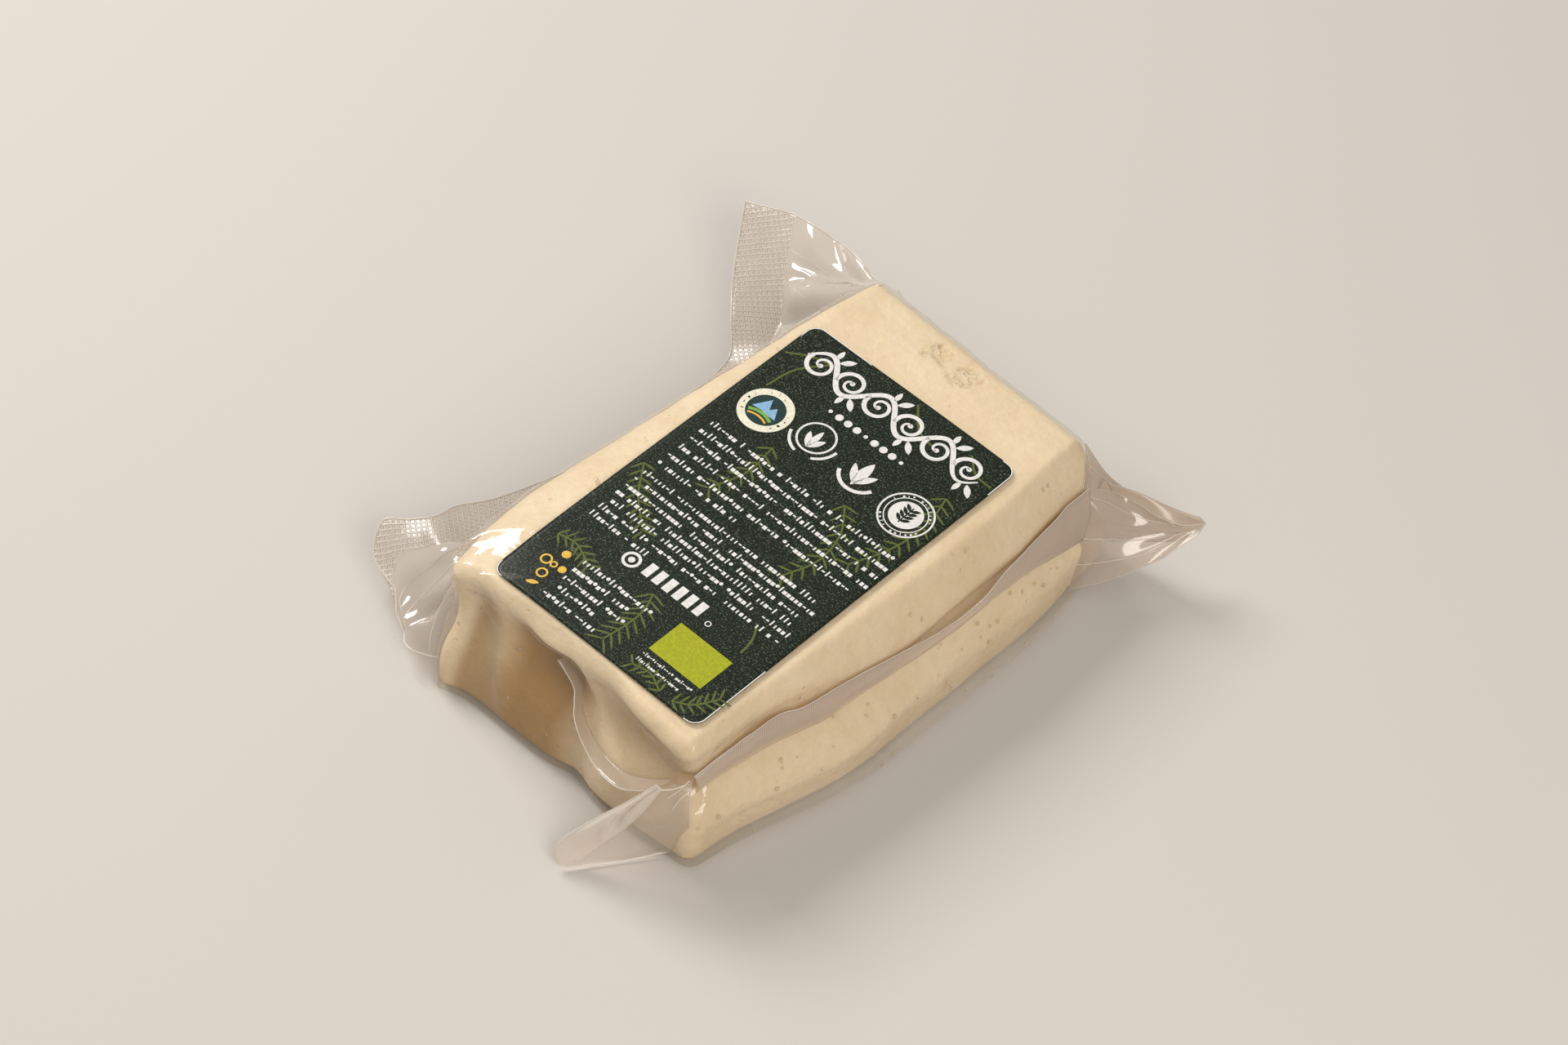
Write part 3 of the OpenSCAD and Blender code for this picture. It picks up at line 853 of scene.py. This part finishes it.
# ---- Label ---------------------------------------------------------------------------------------
# The self-adhesive paper label stuck on the film: white stock printed dark green with fine paler flecks,
# almost to its cut edge, with a satin face and a near left corner that follows the cheese down.

LABEL_CORNER, LABEL_THICKNESS = 3.0, 0.2
GRAIN_SCALE = 1500.0
LABEL_MIDDLE, LABEL_HALF = (LABEL_LOW + LABEL_HIGH) / 2, (LABEL_HIGH - LABEL_LOW) / 2


def on_label(points, lift):
    """Points given across the label, laid on its face at that height above it, in mm."""
    x, y = np.asarray(points, float).T[:2]
    return np.stack([x, y, BLOCK_HEIGHT + 0.18 - sag(x, y) + lift], 1)


grain_outputs = [("Tone", "Color"), ("Height", "Float")]
grain, entry, result = new_group(
    "paper_grain", "ShaderNodeTree", [("Scale", "Float", GRAIN_SCALE)], grain_outputs
)
place = add_node(grain, "ShaderNodeTexCoord")
fine = add_node(grain, "ShaderNodeTexNoise", Detail=2.0, Roughness=0.7)
tone = ramp(grain, fine.outputs["Fac"], (0.42, (0.84, 0.84, 0.84)), (0.60, (1, 1, 1)))
wire_all(
    grain,
    (entry, "Scale", fine, "Scale"),
    (place, "Object", fine, "Vector"),
    (tone, "Color", result, "Tone"),
    (fine, "Fac", result, "Height"),
)


def ink(name, colour, roughness=0.42):
    """Printed paper: the colour with the stock's fine grain in it."""
    material, tree = new_material(name)
    stock = add_node(tree, "ShaderNodeGroup", node_tree=grain)
    stock.inputs["Scale"].default_value = GRAIN_SCALE
    raised = add_node(tree, "ShaderNodeBump", Strength=0.25, Distance=0.0002)
    surface = add_node(tree, "ShaderNodeBsdfPrincipled", Roughness=roughness, Specular_IOR_Level=0.2)
    end = add_node(tree, "ShaderNodeOutputMaterial")
    toned = blend(tree, "MULTIPLY", 1.0, (*colour, 1), stock.outputs["Tone"])
    wire(tree, toned, surface.inputs["Base Color"])
    wire_all(
        tree,
        (stock, "Height", raised, "Height"),
        (raised, "Normal", surface, "Normal"),
        (surface, "BSDF", end, "Surface"),
    )
    return material


rows, cols = 101, 61
u, v = np.meshgrid(np.linspace(-1, 1, cols), np.linspace(-1, 1, rows))
flat = np.stack([u.ravel(), v.ravel()], 1) * LABEL_HALF
inside = np.clip(flat, LABEL_CORNER - LABEL_HALF, LABEL_HALF - LABEL_CORNER)
beyond = flat - inside
reach = np.abs(beyond).max(1) / np.maximum(np.linalg.norm(beyond, axis=1), 1e-9)
label_points = on_label(inside + beyond * reach[:, None] + LABEL_MIDDLE, 0)
label_sheet = mesh_piece("label_sheet", label_points, grid_faces(rows, cols))
paper = label_sheet.modifiers.new("thickness", "SOLIDIFY")
paper.thickness, paper.offset = LABEL_THICKNESS * MM, -1
paper.material_offset = 1
green = ink("dark_green_print", (0.0055, 0.0085, 0.0038), 0.34)
tree = green.node_tree
speckle = add_node(tree, "ShaderNodeTexNoise", Scale=2600.0, Detail=1.0)
flecks = ramp(tree, speckle.outputs["Fac"], (0.56, (0, 0, 0)), (0.72, (1, 1, 1)))
paint = next(n for n in tree.nodes if n.type == "BSDF_PRINCIPLED")
wire(tree, add_node(tree, "ShaderNodeTexCoord").outputs["Object"], speckle.inputs["Vector"])
plain = paint.inputs["Base Color"].links[0].from_socket
flecked = blend(tree, "MIX", flecks.outputs["Color"], plain, (0.075, 0.10, 0.065, 1))
wire(tree, flecked, paint.inputs["Base Color"])
white = ink("white_paper", (0.62, 0.61, 0.58))
label_sheet.data.materials.append(green)
label_sheet.data.materials.append(white)
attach(label_sheet, "root")

# ---- Printed text and badges ---------------------------------------------------------------------
# The label's white printing, as plain shapes: a scroll where the title stands, a row of beads under it,
# rows of small marks for its lines of text, and four round badges. Nothing on it can be read.


def ribbon(path, widths):
    """A flat band along a path of (x, y) points, with a width at each."""
    path = np.asarray(path, float)
    run = np.gradient(path, axis=0)
    run = run / np.maximum(np.linalg.norm(run, axis=1, keepdims=True), 1e-9)
    side = np.stack([-run[:, 1], run[:, 0]], 1) * np.broadcast_to(widths, len(path))[:, None] / 2
    points = np.stack([path - side, path + side], 1).reshape(-1, 2)
    return points, [(2 * k, 2 * k + 2, 2 * k + 3, 2 * k + 1) for k in range(len(path) - 1)]


def arc(middle, radius, start=0.0, sweep=360.0, count=40):
    a = np.radians(np.linspace(start, start + sweep, count))
    return np.stack([middle[0] + radius * np.cos(a), middle[1] + radius * np.sin(a)], 1)


def ring(middle, outer, inner, start=0.0, sweep=360.0):
    return ribbon(arc(middle, (outer + inner) / 2, start, sweep, 56), outer - inner)


def disc(middle, radius, count=36):
    rim = arc(middle, radius, count=count + 1)[:-1]
    return np.vstack([[middle], rim]), [(0, k + 1, (k + 1) % count + 1) for k in range(count)]


def box(low, high):
    return np.array([low, (high[0], low[1]), high, (low[0], high[1])], float), [(0, 1, 2, 3)]


def leaf(foot, tip, width):
    """A pointed leaf from foot to tip."""
    foot, tip = np.asarray(foot, float), np.asarray(tip, float)
    t = np.linspace(0, 1, 9)
    return ribbon(foot + (tip - foot) * t[:, None], width * np.sin(math.pi * t) ** 0.8 + 0.02)


def print_piece(name, material, lift, *shapes):
    """Shapes printed in one colour, at that height above the label's face: what is printed over something
    else is lifted more."""
    points, faces = [], []
    for flat, quads in shapes:
        faces += [tuple(len(points) + k for k in quad) for quad in quads]
        points += list(flat)
    piece = mesh_piece(name, on_label(points, lift), faces, smooth=False)
    piece.data.materials.append(material)
    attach(piece, "root")


SCROLL_START, SCROLL_END, SCROLL_Y = -27.0, 24.0, 37.6
SCROLL_CURLS, SCROLL_PITCH, SCROLL_RISE = 6, 8.6, 3.6
stem_x = np.linspace(SCROLL_START, SCROLL_END, 200)
stem_y = SCROLL_Y + SCROLL_RISE * np.sin((stem_x - SCROLL_START) * math.pi / SCROLL_PITCH)
taper = np.interp(stem_x, [SCROLL_START, -22, 16, SCROLL_END], [0.5, 1.3, 1.2, 0.35])
scroll = [ribbon(np.stack([stem_x, stem_y], 1), taper)]
for k in range(SCROLL_CURLS):
    side = 1 if k % 2 == 0 else -1
    cx, cy = SCROLL_START + SCROLL_PITCH * (k + 0.5), SCROLL_Y - side * 0.2
    turn = np.linspace(0, 1, 60)
    angle = np.radians(-side * (200 - 470 * turn))
    curl_r = 3.3 * (1 - turn) ** 0.8 + 0.35
    curl = np.stack([cx + curl_r * np.cos(angle), cy + curl_r * np.sin(angle)], 1)
    scroll.append(ribbon(curl, 1.15 - 0.7 * turn))
    scroll.append(disc(tuple(curl[-1]), 0.62, 16))
    scroll.append(leaf((cx + 2.5, cy + side * 3.2), (cx + 5.2, cy + side * 6.0), 1.5))
    scroll.append(leaf((cx + 1.2, cy + side * 3.6), (cx + 1.0, cy + side * 6.6), 1.3))
print_piece("title_scroll", white, 0.03, *scroll)
cut_edge = np.concatenate([  # the unprinted line along the label's edge
    arc(LABEL_MIDDLE + (LABEL_HALF - LABEL_CORNER) * np.array(turn), LABEL_CORNER - 0.14, start, 90, 10)
    for turn, start in (((1, 1), 0), ((-1, 1), 90), ((-1, -1), 180), ((1, -1), 270))
])
print_piece("cut_edge", white, 0.01, ribbon(np.vstack([cut_edge, cut_edge[:1]]), 0.24))

cream = ink("cream_print", (0.66, 0.63, 0.50))
badge_1, badge_2, badge_3, badge_4 = (-22.0, 18.9), (-8.8, 21.0), (5.2, 20.5), (19.5, 18.8)
print_piece("cream_badge", cream, 0.03, ring(badge_1, 6.4, 4.55))
print_piece("badge_field", ink("teal_print", (0.012, 0.032, 0.030)), 0.03, disc(badge_1, 4.45))
print_piece(
    "badge_peaks", ink("blue_print", (0.20, 0.36, 0.52)), 0.05,
    (np.array([(-25.2, 18.0), (-22.9, 22.2), (-20.9, 18.4)]), [(0, 2, 1)]),
    (np.array([(-22.6, 18.0), (-20.4, 21.0), (-18.6, 18.0)]), [(0, 2, 1)]),
)
leaf_green = ink("leaf_green_print", (0.16, 0.33, 0.05))
ochre = ink("ochre_print", (0.62, 0.38, 0.06))
print_piece("badge_slope", leaf_green, 0.05, ring((-22.0, 11.6), 6.5, 5.7, 60, 62))
print_piece("badge_path", ochre, 0.06, ring((-22.0, 11.2), 5.6, 5.1, 62, 58))
print_piece(
    "white_badges", white, 0.03,
    ring(badge_2, 4.6, 4.1), ring(badge_2, 6.3, 5.6, 200, 60), ring(badge_2, 6.3, 5.6, -60, 60),
    *[leaf((-8.8, 17.6), (-8.8 + dx, 17.6 + dy), 1.5) for dx, dy in ((-2.3, 4.0), (0.0, 5.8), (2.3, 4.0))],
    ring(badge_3, 5.6, 4.7, 205, 130), leaf((5.2, 16.6), (5.2, 24.6), 2.6),
    leaf((5.2, 17.2), (1.9, 22.0), 1.7), leaf((5.2, 17.2), (8.5, 22.0), 1.7),
    ring(badge_4, 6.4, 5.95), ring(badge_4, 5.0, 4.75), disc(badge_4, 3.9),
)
print_piece(
    "badge_sprig", green, 0.05,
    ribbon([(19.5, 16.2), (19.5, 21.4)], 0.35),
    *[
        leaf((19.5, 16.7 + 1.15 * k), (19.5 + side * 1.9, 18.1 + 1.15 * k), 0.9)
        for k in range(4)
        for side in (-1, 1)
    ],
)

marks, entry, result = new_rule(
    "marks_in_rows",
    ("Pitch", "Float", 0.001),
    ("Height", "Float", 0.0014),
    ("Gaps", "Float", 0.15),
    ("Seed", "Int", 1),
)
rows = add_node(marks, "GeometryNodeMeshToCurve")
stops = add_node(marks, "GeometryNodeCurveToPoints", mode="LENGTH")
upright = add_node(marks, "FunctionNodeAlignRotationToVector", axis="X", pivot_axis="Z")
blank = add_node(marks, "FunctionNodeRandomValue", data_type="BOOLEAN")
kept = add_node(marks, "FunctionNodeBooleanMath", operation="NOT")
which = add_node(marks, "FunctionNodeRandomValue", data_type="INT")
which.inputs[4].default_value, which.inputs[5].default_value = 0, 5
place = add_node(marks, "GeometryNodeInstanceOnPoints")
place.inputs["Pick Instance"].default_value = True
shapes = add_node(marks, "GeometryNodeGeometryToInstance")
for width, height, drop_y in (
    (0.24, 1.0, 0), (0.52, 0.62, -0.19), (0.24, 0.62, -0.19), (0.62, 0.62, -0.19), (0.5, 0.24, -0.1)
):
    bar = add_node(marks, "GeometryNodeMeshGrid", Size_X=width, Size_Y=height, Vertices_X=2, Vertices_Y=2)
    shift = add_node(marks, "GeometryNodeTransform")
    shift.inputs["Translation"].default_value = (0, drop_y, 0)
    wire(marks, bar.outputs["Mesh"], shift.inputs["Geometry"])
    wire(marks, shift.outputs["Geometry"], shapes.inputs["Geometry"])
dot = add_node(marks, "GeometryNodeMeshCircle", fill_type="NGON", Vertices=8, Radius=0.3)
wire_all(
    marks,
    (dot, "Mesh", shapes, "Geometry"),
    (entry, "Geometry", rows, "Mesh"),
    (rows, "Curve", stops, "Curve"),
    (entry, "Pitch", stops, "Length"),
    (stops, "Tangent", upright, "Vector"),
    (entry, "Gaps", blank, "Probability"),
    (entry, "Seed", blank, "Seed"),
    (entry, "Seed", which, "Seed"),
    (blank, 3, kept, 0),
    (stops, "Points", place, "Points"),
    (kept, "Boolean", place, "Selection"),
    (shapes, "Instances", place, "Instance"),
    (which, 2, place, "Instance Index"),
    (upright, "Rotation", place, "Rotation"),
    (entry, "Height", place, "Scale"),
)
end_rule(marks, entry, result, place.outputs["Instances"])


def lay_down(piece, lift):
    """Drops a flat mesh onto the label's face."""
    flat = np.array([v.co[:] for v in piece.data.vertices]) / MM
    piece.data.vertices.foreach_set("co", (on_label(flat, lift) * MM).ravel())
    piece.data.update()


def level(line):
    return [(*p, 0) for p in line]


def text_rows(name, lines, pitch, height, seed, material, gaps):
    """Rows of marks along those lines: how far apart and how tall they are in mm, and the share left
    out."""
    piece = line_piece(name, [level(line) for line in lines])
    apply_rule(piece, marks, Pitch=pitch * MM, Height=height * MM, Gaps=gaps, Seed=seed, Material=material)
    lay_down(piece, 0.03)
    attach(piece, "root")


def text_block(first_y, step, start, ends):
    """Lines of text, as (x, y) ends: the first one's height, the step down to the next, and where they
    end."""
    return [[(start, first_y - step * k), (end, first_y - step * k)] for k, end in enumerate(ends)]


beads = [disc((k * 2.6 - 1.6, 28.9), 0.95 if k % 4 else 0.5) for k in range(-4, 5)]
print_piece("subtitle_beads", white, 0.04, *beads)
UPPER_HEIGHTS, UPPER_ENDS = (8.0, 4.8, 1.7, -1.7, -5.1, -8.3), (25.6, 26.6, 26.8, 27.0, 24.6, -5.0)
upper_lines = [[(-27.5, y), (end, y)] for y, end in zip(UPPER_HEIGHTS, UPPER_ENDS)]
lower_lines = text_block(-12.4, 2.7, -27.8, (22.0, 24.0, 24.4, 22.6, 24.5, 24.0, -10.5))
contact_lines = text_block(-39.3, 2.95, -19.0, (0.2, -3.9, -2.1, -8.1, -4.8))
round_lines = [arc(badge_4, 5.45, 160, -140), arc(badge_4, 5.45, 205, 130)]
text_rows("upper_text", upper_lines, 1.12, 1.6, 5, white, 0.13)
text_rows("lower_text", lower_lines, 1.12, 1.55, 9, white, 0.13)
text_rows("contact_text", contact_lines, 1.12, 1.65, 4, white, 0.06)
text_rows("small_text", text_block(-48.0, 1.9, 6.9, (20.5, 18.4)), 0.66, 0.95, 6, white, 0.1)
text_rows("badge_1_marks", [arc(badge_1, 5.45, 215, -250)], 1.7, 1.1, 12, green, 0.1)
text_rows("badge_4_marks", round_lines, 1.1, 0.8, 13, white, 0.1)

# ---- Coloured print ------------------------------------------------------------------------------
# The label's coloured areas: a bare lime panel, a few plain ochre marks beside the short lines, a row of
# white bars where a name would stand, and faint olive sprigs under everything.

lime = ink("lime_print", (0.30, 0.315, 0.010))
print_piece("lime_panel", lime, 0.03, box((6.7, -46.5), (21.6, -36.8)))
print_piece(
    "plain_bars", white, 0.03,
    *[box((-8.8 + 2.95 * k, -33.2), (-6.9 + 2.95 * k, -29.4)) for k in range(6)],
    ring((-12.6, -32.0), 2.2, 1.5), disc((-12.6, -32.0), 0.8, 16), ring((10.8, -33.0), 0.75, 0.5),
)
print_piece(
    "ochre_marks", ochre, 0.03,
    ring((-25.4, -44.6), 1.4, 0.95), disc((-23.2, -40.8), 1.05, 18), ring((-23.4, -47.9), 1.35, 0.9),
    disc((-20.9, -44.4), 0.95, 18), ring((-23.2, -44.6), 0.9, 0.5), leaf((-24.4, -51.8), (-21.8, -50.4), 1.1),
)

sprigs, entry, result = new_rule(
    "leaves_on_stems",
    ("Spacing", "Float", 0.0014),
    ("Leaf Length", "Float", 0.0032),
    ("Leaf Width", "Float", 0.0006),
    ("Spread", "Float", 0.9),
)
stems = add_node(sprigs, "GeometryNodeMeshToCurve")
stops = add_node(sprigs, "GeometryNodeCurveToPoints", mode="LENGTH")
aim = add_node(sprigs, "FunctionNodeAlignRotationToVector", axis="X", pivot_axis="Z")
blade = add_node(sprigs, "GeometryNodeMeshCircle", fill_type="NGON", Vertices=10, Radius=0.5)
root_blade = add_node(sprigs, "GeometryNodeTransform")
root_blade.inputs["Translation"].default_value = (0.5, 0, 0)
shape = add_node(sprigs, "ShaderNodeCombineXYZ", Z=1.0)
both = add_node(sprigs, "GeometryNodeJoinGeometry")
wire_all(
    sprigs,
    (entry, "Geometry", stems, "Mesh"),
    (stems, "Curve", stops, "Curve"),
    (entry, "Spacing", stops, "Length"),
    (stops, "Tangent", aim, "Vector"),
    (blade, "Mesh", root_blade, "Geometry"),
    (entry, "Leaf Length", shape, "X"),
    (entry, "Leaf Width", shape, "Y"),
)
for side in (-1, 1):
    angle = add_node(sprigs, "ShaderNodeMath", operation="MULTIPLY")
    angle.inputs[1].default_value = side
    axis_turn = add_node(sprigs, "FunctionNodeAxisAngleToRotation", Axis=(0, 0, 1))
    turned = add_node(sprigs, "FunctionNodeRotateRotation", rotation_space="LOCAL")
    leaves = add_node(sprigs, "GeometryNodeInstanceOnPoints")
    wire_all(
        sprigs,
        (entry, "Spread", angle, 0),
        (angle, "Value", axis_turn, "Angle"),
        (aim, "Rotation", turned, "Rotation"),
        (axis_turn, "Rotation", turned, "Rotate By"),
        (stops, "Points", leaves, "Points"),
        (root_blade, "Geometry", leaves, "Instance"),
        (turned, "Rotation", leaves, "Rotation"),
        (shape, "Vector", leaves, "Scale"),
        (leaves, "Instances", both, "Geometry"),
    )
end_rule(sprigs, entry, result, both.outputs["Geometry"])

STEMS = [  # a stem's points across the label, the spacing of its leaves and their length
    ([(-2.9, -35.4), (-1.2, -39.6), (-0.9, -44.9), (-1.7, -51.4)], 2.0, 4.2),
    ([(16.2, -52.9), (11.5, -51.0), (7.2, -51.8)], 1.6, 2.6),
    ([(19.7, -53.0), (23.4, -50.6), (26.4, -45.5)], 1.7, 3.0),
    ([(-28.6, -38.0), (-24.0, -37.2), (-18.0, -39.6)], 1.8, 3.0),
    ([(-29.8, -10.8), (-24.0, -18.5), (-16.5, -24.5)], 2.1, 3.4),
    ([(22.4, 28.5), (24.4, 20.0), (23.6, 9.5), (20.2, 0.0)], 2.4, 3.6),
    ([(8.5, 11.5), (13.5, 4.5), (15.0, -4.0), (12.5, -12.5)], 2.4, 3.6),
    ([(-13.5, 12.0), (-12.5, 3.5), (-15.0, -6.0)], 2.4, 3.4),
]
BARE_STEMS = [
    [(-27.0, 24.3), (-25.8, 32.0), (-20.7, 39.6)],
    [(-30.9, 34.4), (-26.0, 37.6), (-20.9, 39.1)],
    [(17.9, -25.5), (20.2, -29.5), (20.9, -33.7)],
    [(18.0, 41.6), (22.5, 38.0), (27.0, 37.6)],
    [(0.0, 44.0), (5.5, 38.5), (12.0, 37.0)],
]
LEAF_WIDTH, LEAF_SPREAD = 0.55, 0.95
olive = ink("olive_print", (0.085, 0.105, 0.022))
print_piece(
    "olive_stems", olive, 0.015,
    *[ribbon(spline(stem, 40), 0.45) for stem, _, _ in STEMS],
    *[ribbon(spline(stem, 30), 0.5) for stem in BARE_STEMS],
)
for k, (stem, spacing, length) in enumerate(STEMS):
    piece = line_piece(f"olive_leaves_{k + 1}", [level(spline(stem, 30))])
    apply_rule(piece, sprigs, **{
        "Spacing": spacing * MM,
        "Leaf Length": length * MM,
        "Leaf Width": LEAF_WIDTH * MM,
        "Spread": LEAF_SPREAD,
        "Material": olive,
    })
    lay_down(piece, 0.02)
    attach(piece, "root")

# ---- Stage ---------------------------------------------------------------------------------------
# A plain pale floor, a large soft light from the far left, a weaker one from the right and a pale surround,
# seen from above the near right corner through a long lens that is tilted a little.

FLOOR_REACH = 3000.0
floor_corners = [(FLOOR_REACH * x, FLOOR_REACH * y, 0) for x, y in ((-1, -1), (1, -1), (1, 1), (-1, 1))]
floor = mesh_piece("floor", floor_corners, [(0, 1, 2, 3)], smooth=False)
floor_finish, tree = new_material("pale_floor")
surface = add_node(tree, "ShaderNodeBsdfPrincipled", Base_Color=(0.46, 0.43, 0.395, 1), Roughness=0.75)
end = add_node(tree, "ShaderNodeOutputMaterial")
wire(tree, surface.outputs["BSDF"], end.inputs["Surface"])
floor.data.materials.append(floor_finish)


def soft_light(name, place, aim, size, power, colour):
    data = bpy.data.lights.new(name, "AREA")
    data.shape, data.size, data.size_y = "RECTANGLE", size[0], size[1]
    data.energy, data.color = power, colour
    lamp = bpy.data.objects.new(name, data)
    bpy.context.scene.collection.objects.link(lamp)
    lamp.location = place
    lamp.rotation_euler = (Vector(aim) - Vector(place)).to_track_quat("-Z", "Y").to_euler()


soft_light("window", (-0.95, 0.1, 0.85), (0, 0, 0.02), (0.6, 0.5), 16.0, (1.0, 0.985, 0.96))
soft_light("fill", (0.75, -0.35, 0.75), (0, 0, 0.02), (0.6, 0.6), 8.0, (1.0, 0.955, 0.89))

world = bpy.data.worlds.new("surround")
bpy.context.scene.world = world
world.use_nodes = True
world.node_tree.nodes["Background"].inputs["Color"].default_value = (0.88, 0.865, 0.845, 1)
world.node_tree.nodes["Background"].inputs["Strength"].default_value = 0.55
bpy.context.scene.cycles.transparent_max_bounces = 28
bpy.context.scene.view_settings.view_transform = "Standard"

CAMERA_TURN, CAMERA_RISE, CAMERA_ROLL = math.radians(40.04), math.radians(49.67), math.radians(4.51)
CAMERA_AIM, CAMERA_REACH = Vector((-0.01594, 0.02081, 0)), 1.01828
back = Vector((
    math.sin(CAMERA_TURN) * math.cos(CAMERA_RISE),
    -math.cos(CAMERA_TURN) * math.cos(CAMERA_RISE),
    math.sin(CAMERA_RISE),
))
right = Vector((math.cos(CAMERA_TURN), math.sin(CAMERA_TURN), 0))
up = back.cross(right)
rolled_right = right * math.cos(CAMERA_ROLL) + up * math.sin(CAMERA_ROLL)
rolled_up = up * math.cos(CAMERA_ROLL) - right * math.sin(CAMERA_ROLL)
camera_data = bpy.data.cameras.new("camera")
camera_data.lens, camera_data.sensor_width = 105.0, 36.0
camera_data.clip_start = 0.05
camera = bpy.data.objects.new("camera", camera_data)
bpy.context.scene.collection.objects.link(camera)
camera.matrix_world = Matrix((
    (rolled_right.x, rolled_up.x, back.x, 0),
    (rolled_right.y, rolled_up.y, back.y, 0),
    (rolled_right.z, rolled_up.z, back.z, 0),
    (0, 0, 0, 1),
))
camera.location = CAMERA_AIM + back * CAMERA_REACH
bpy.context.scene.camera = camera
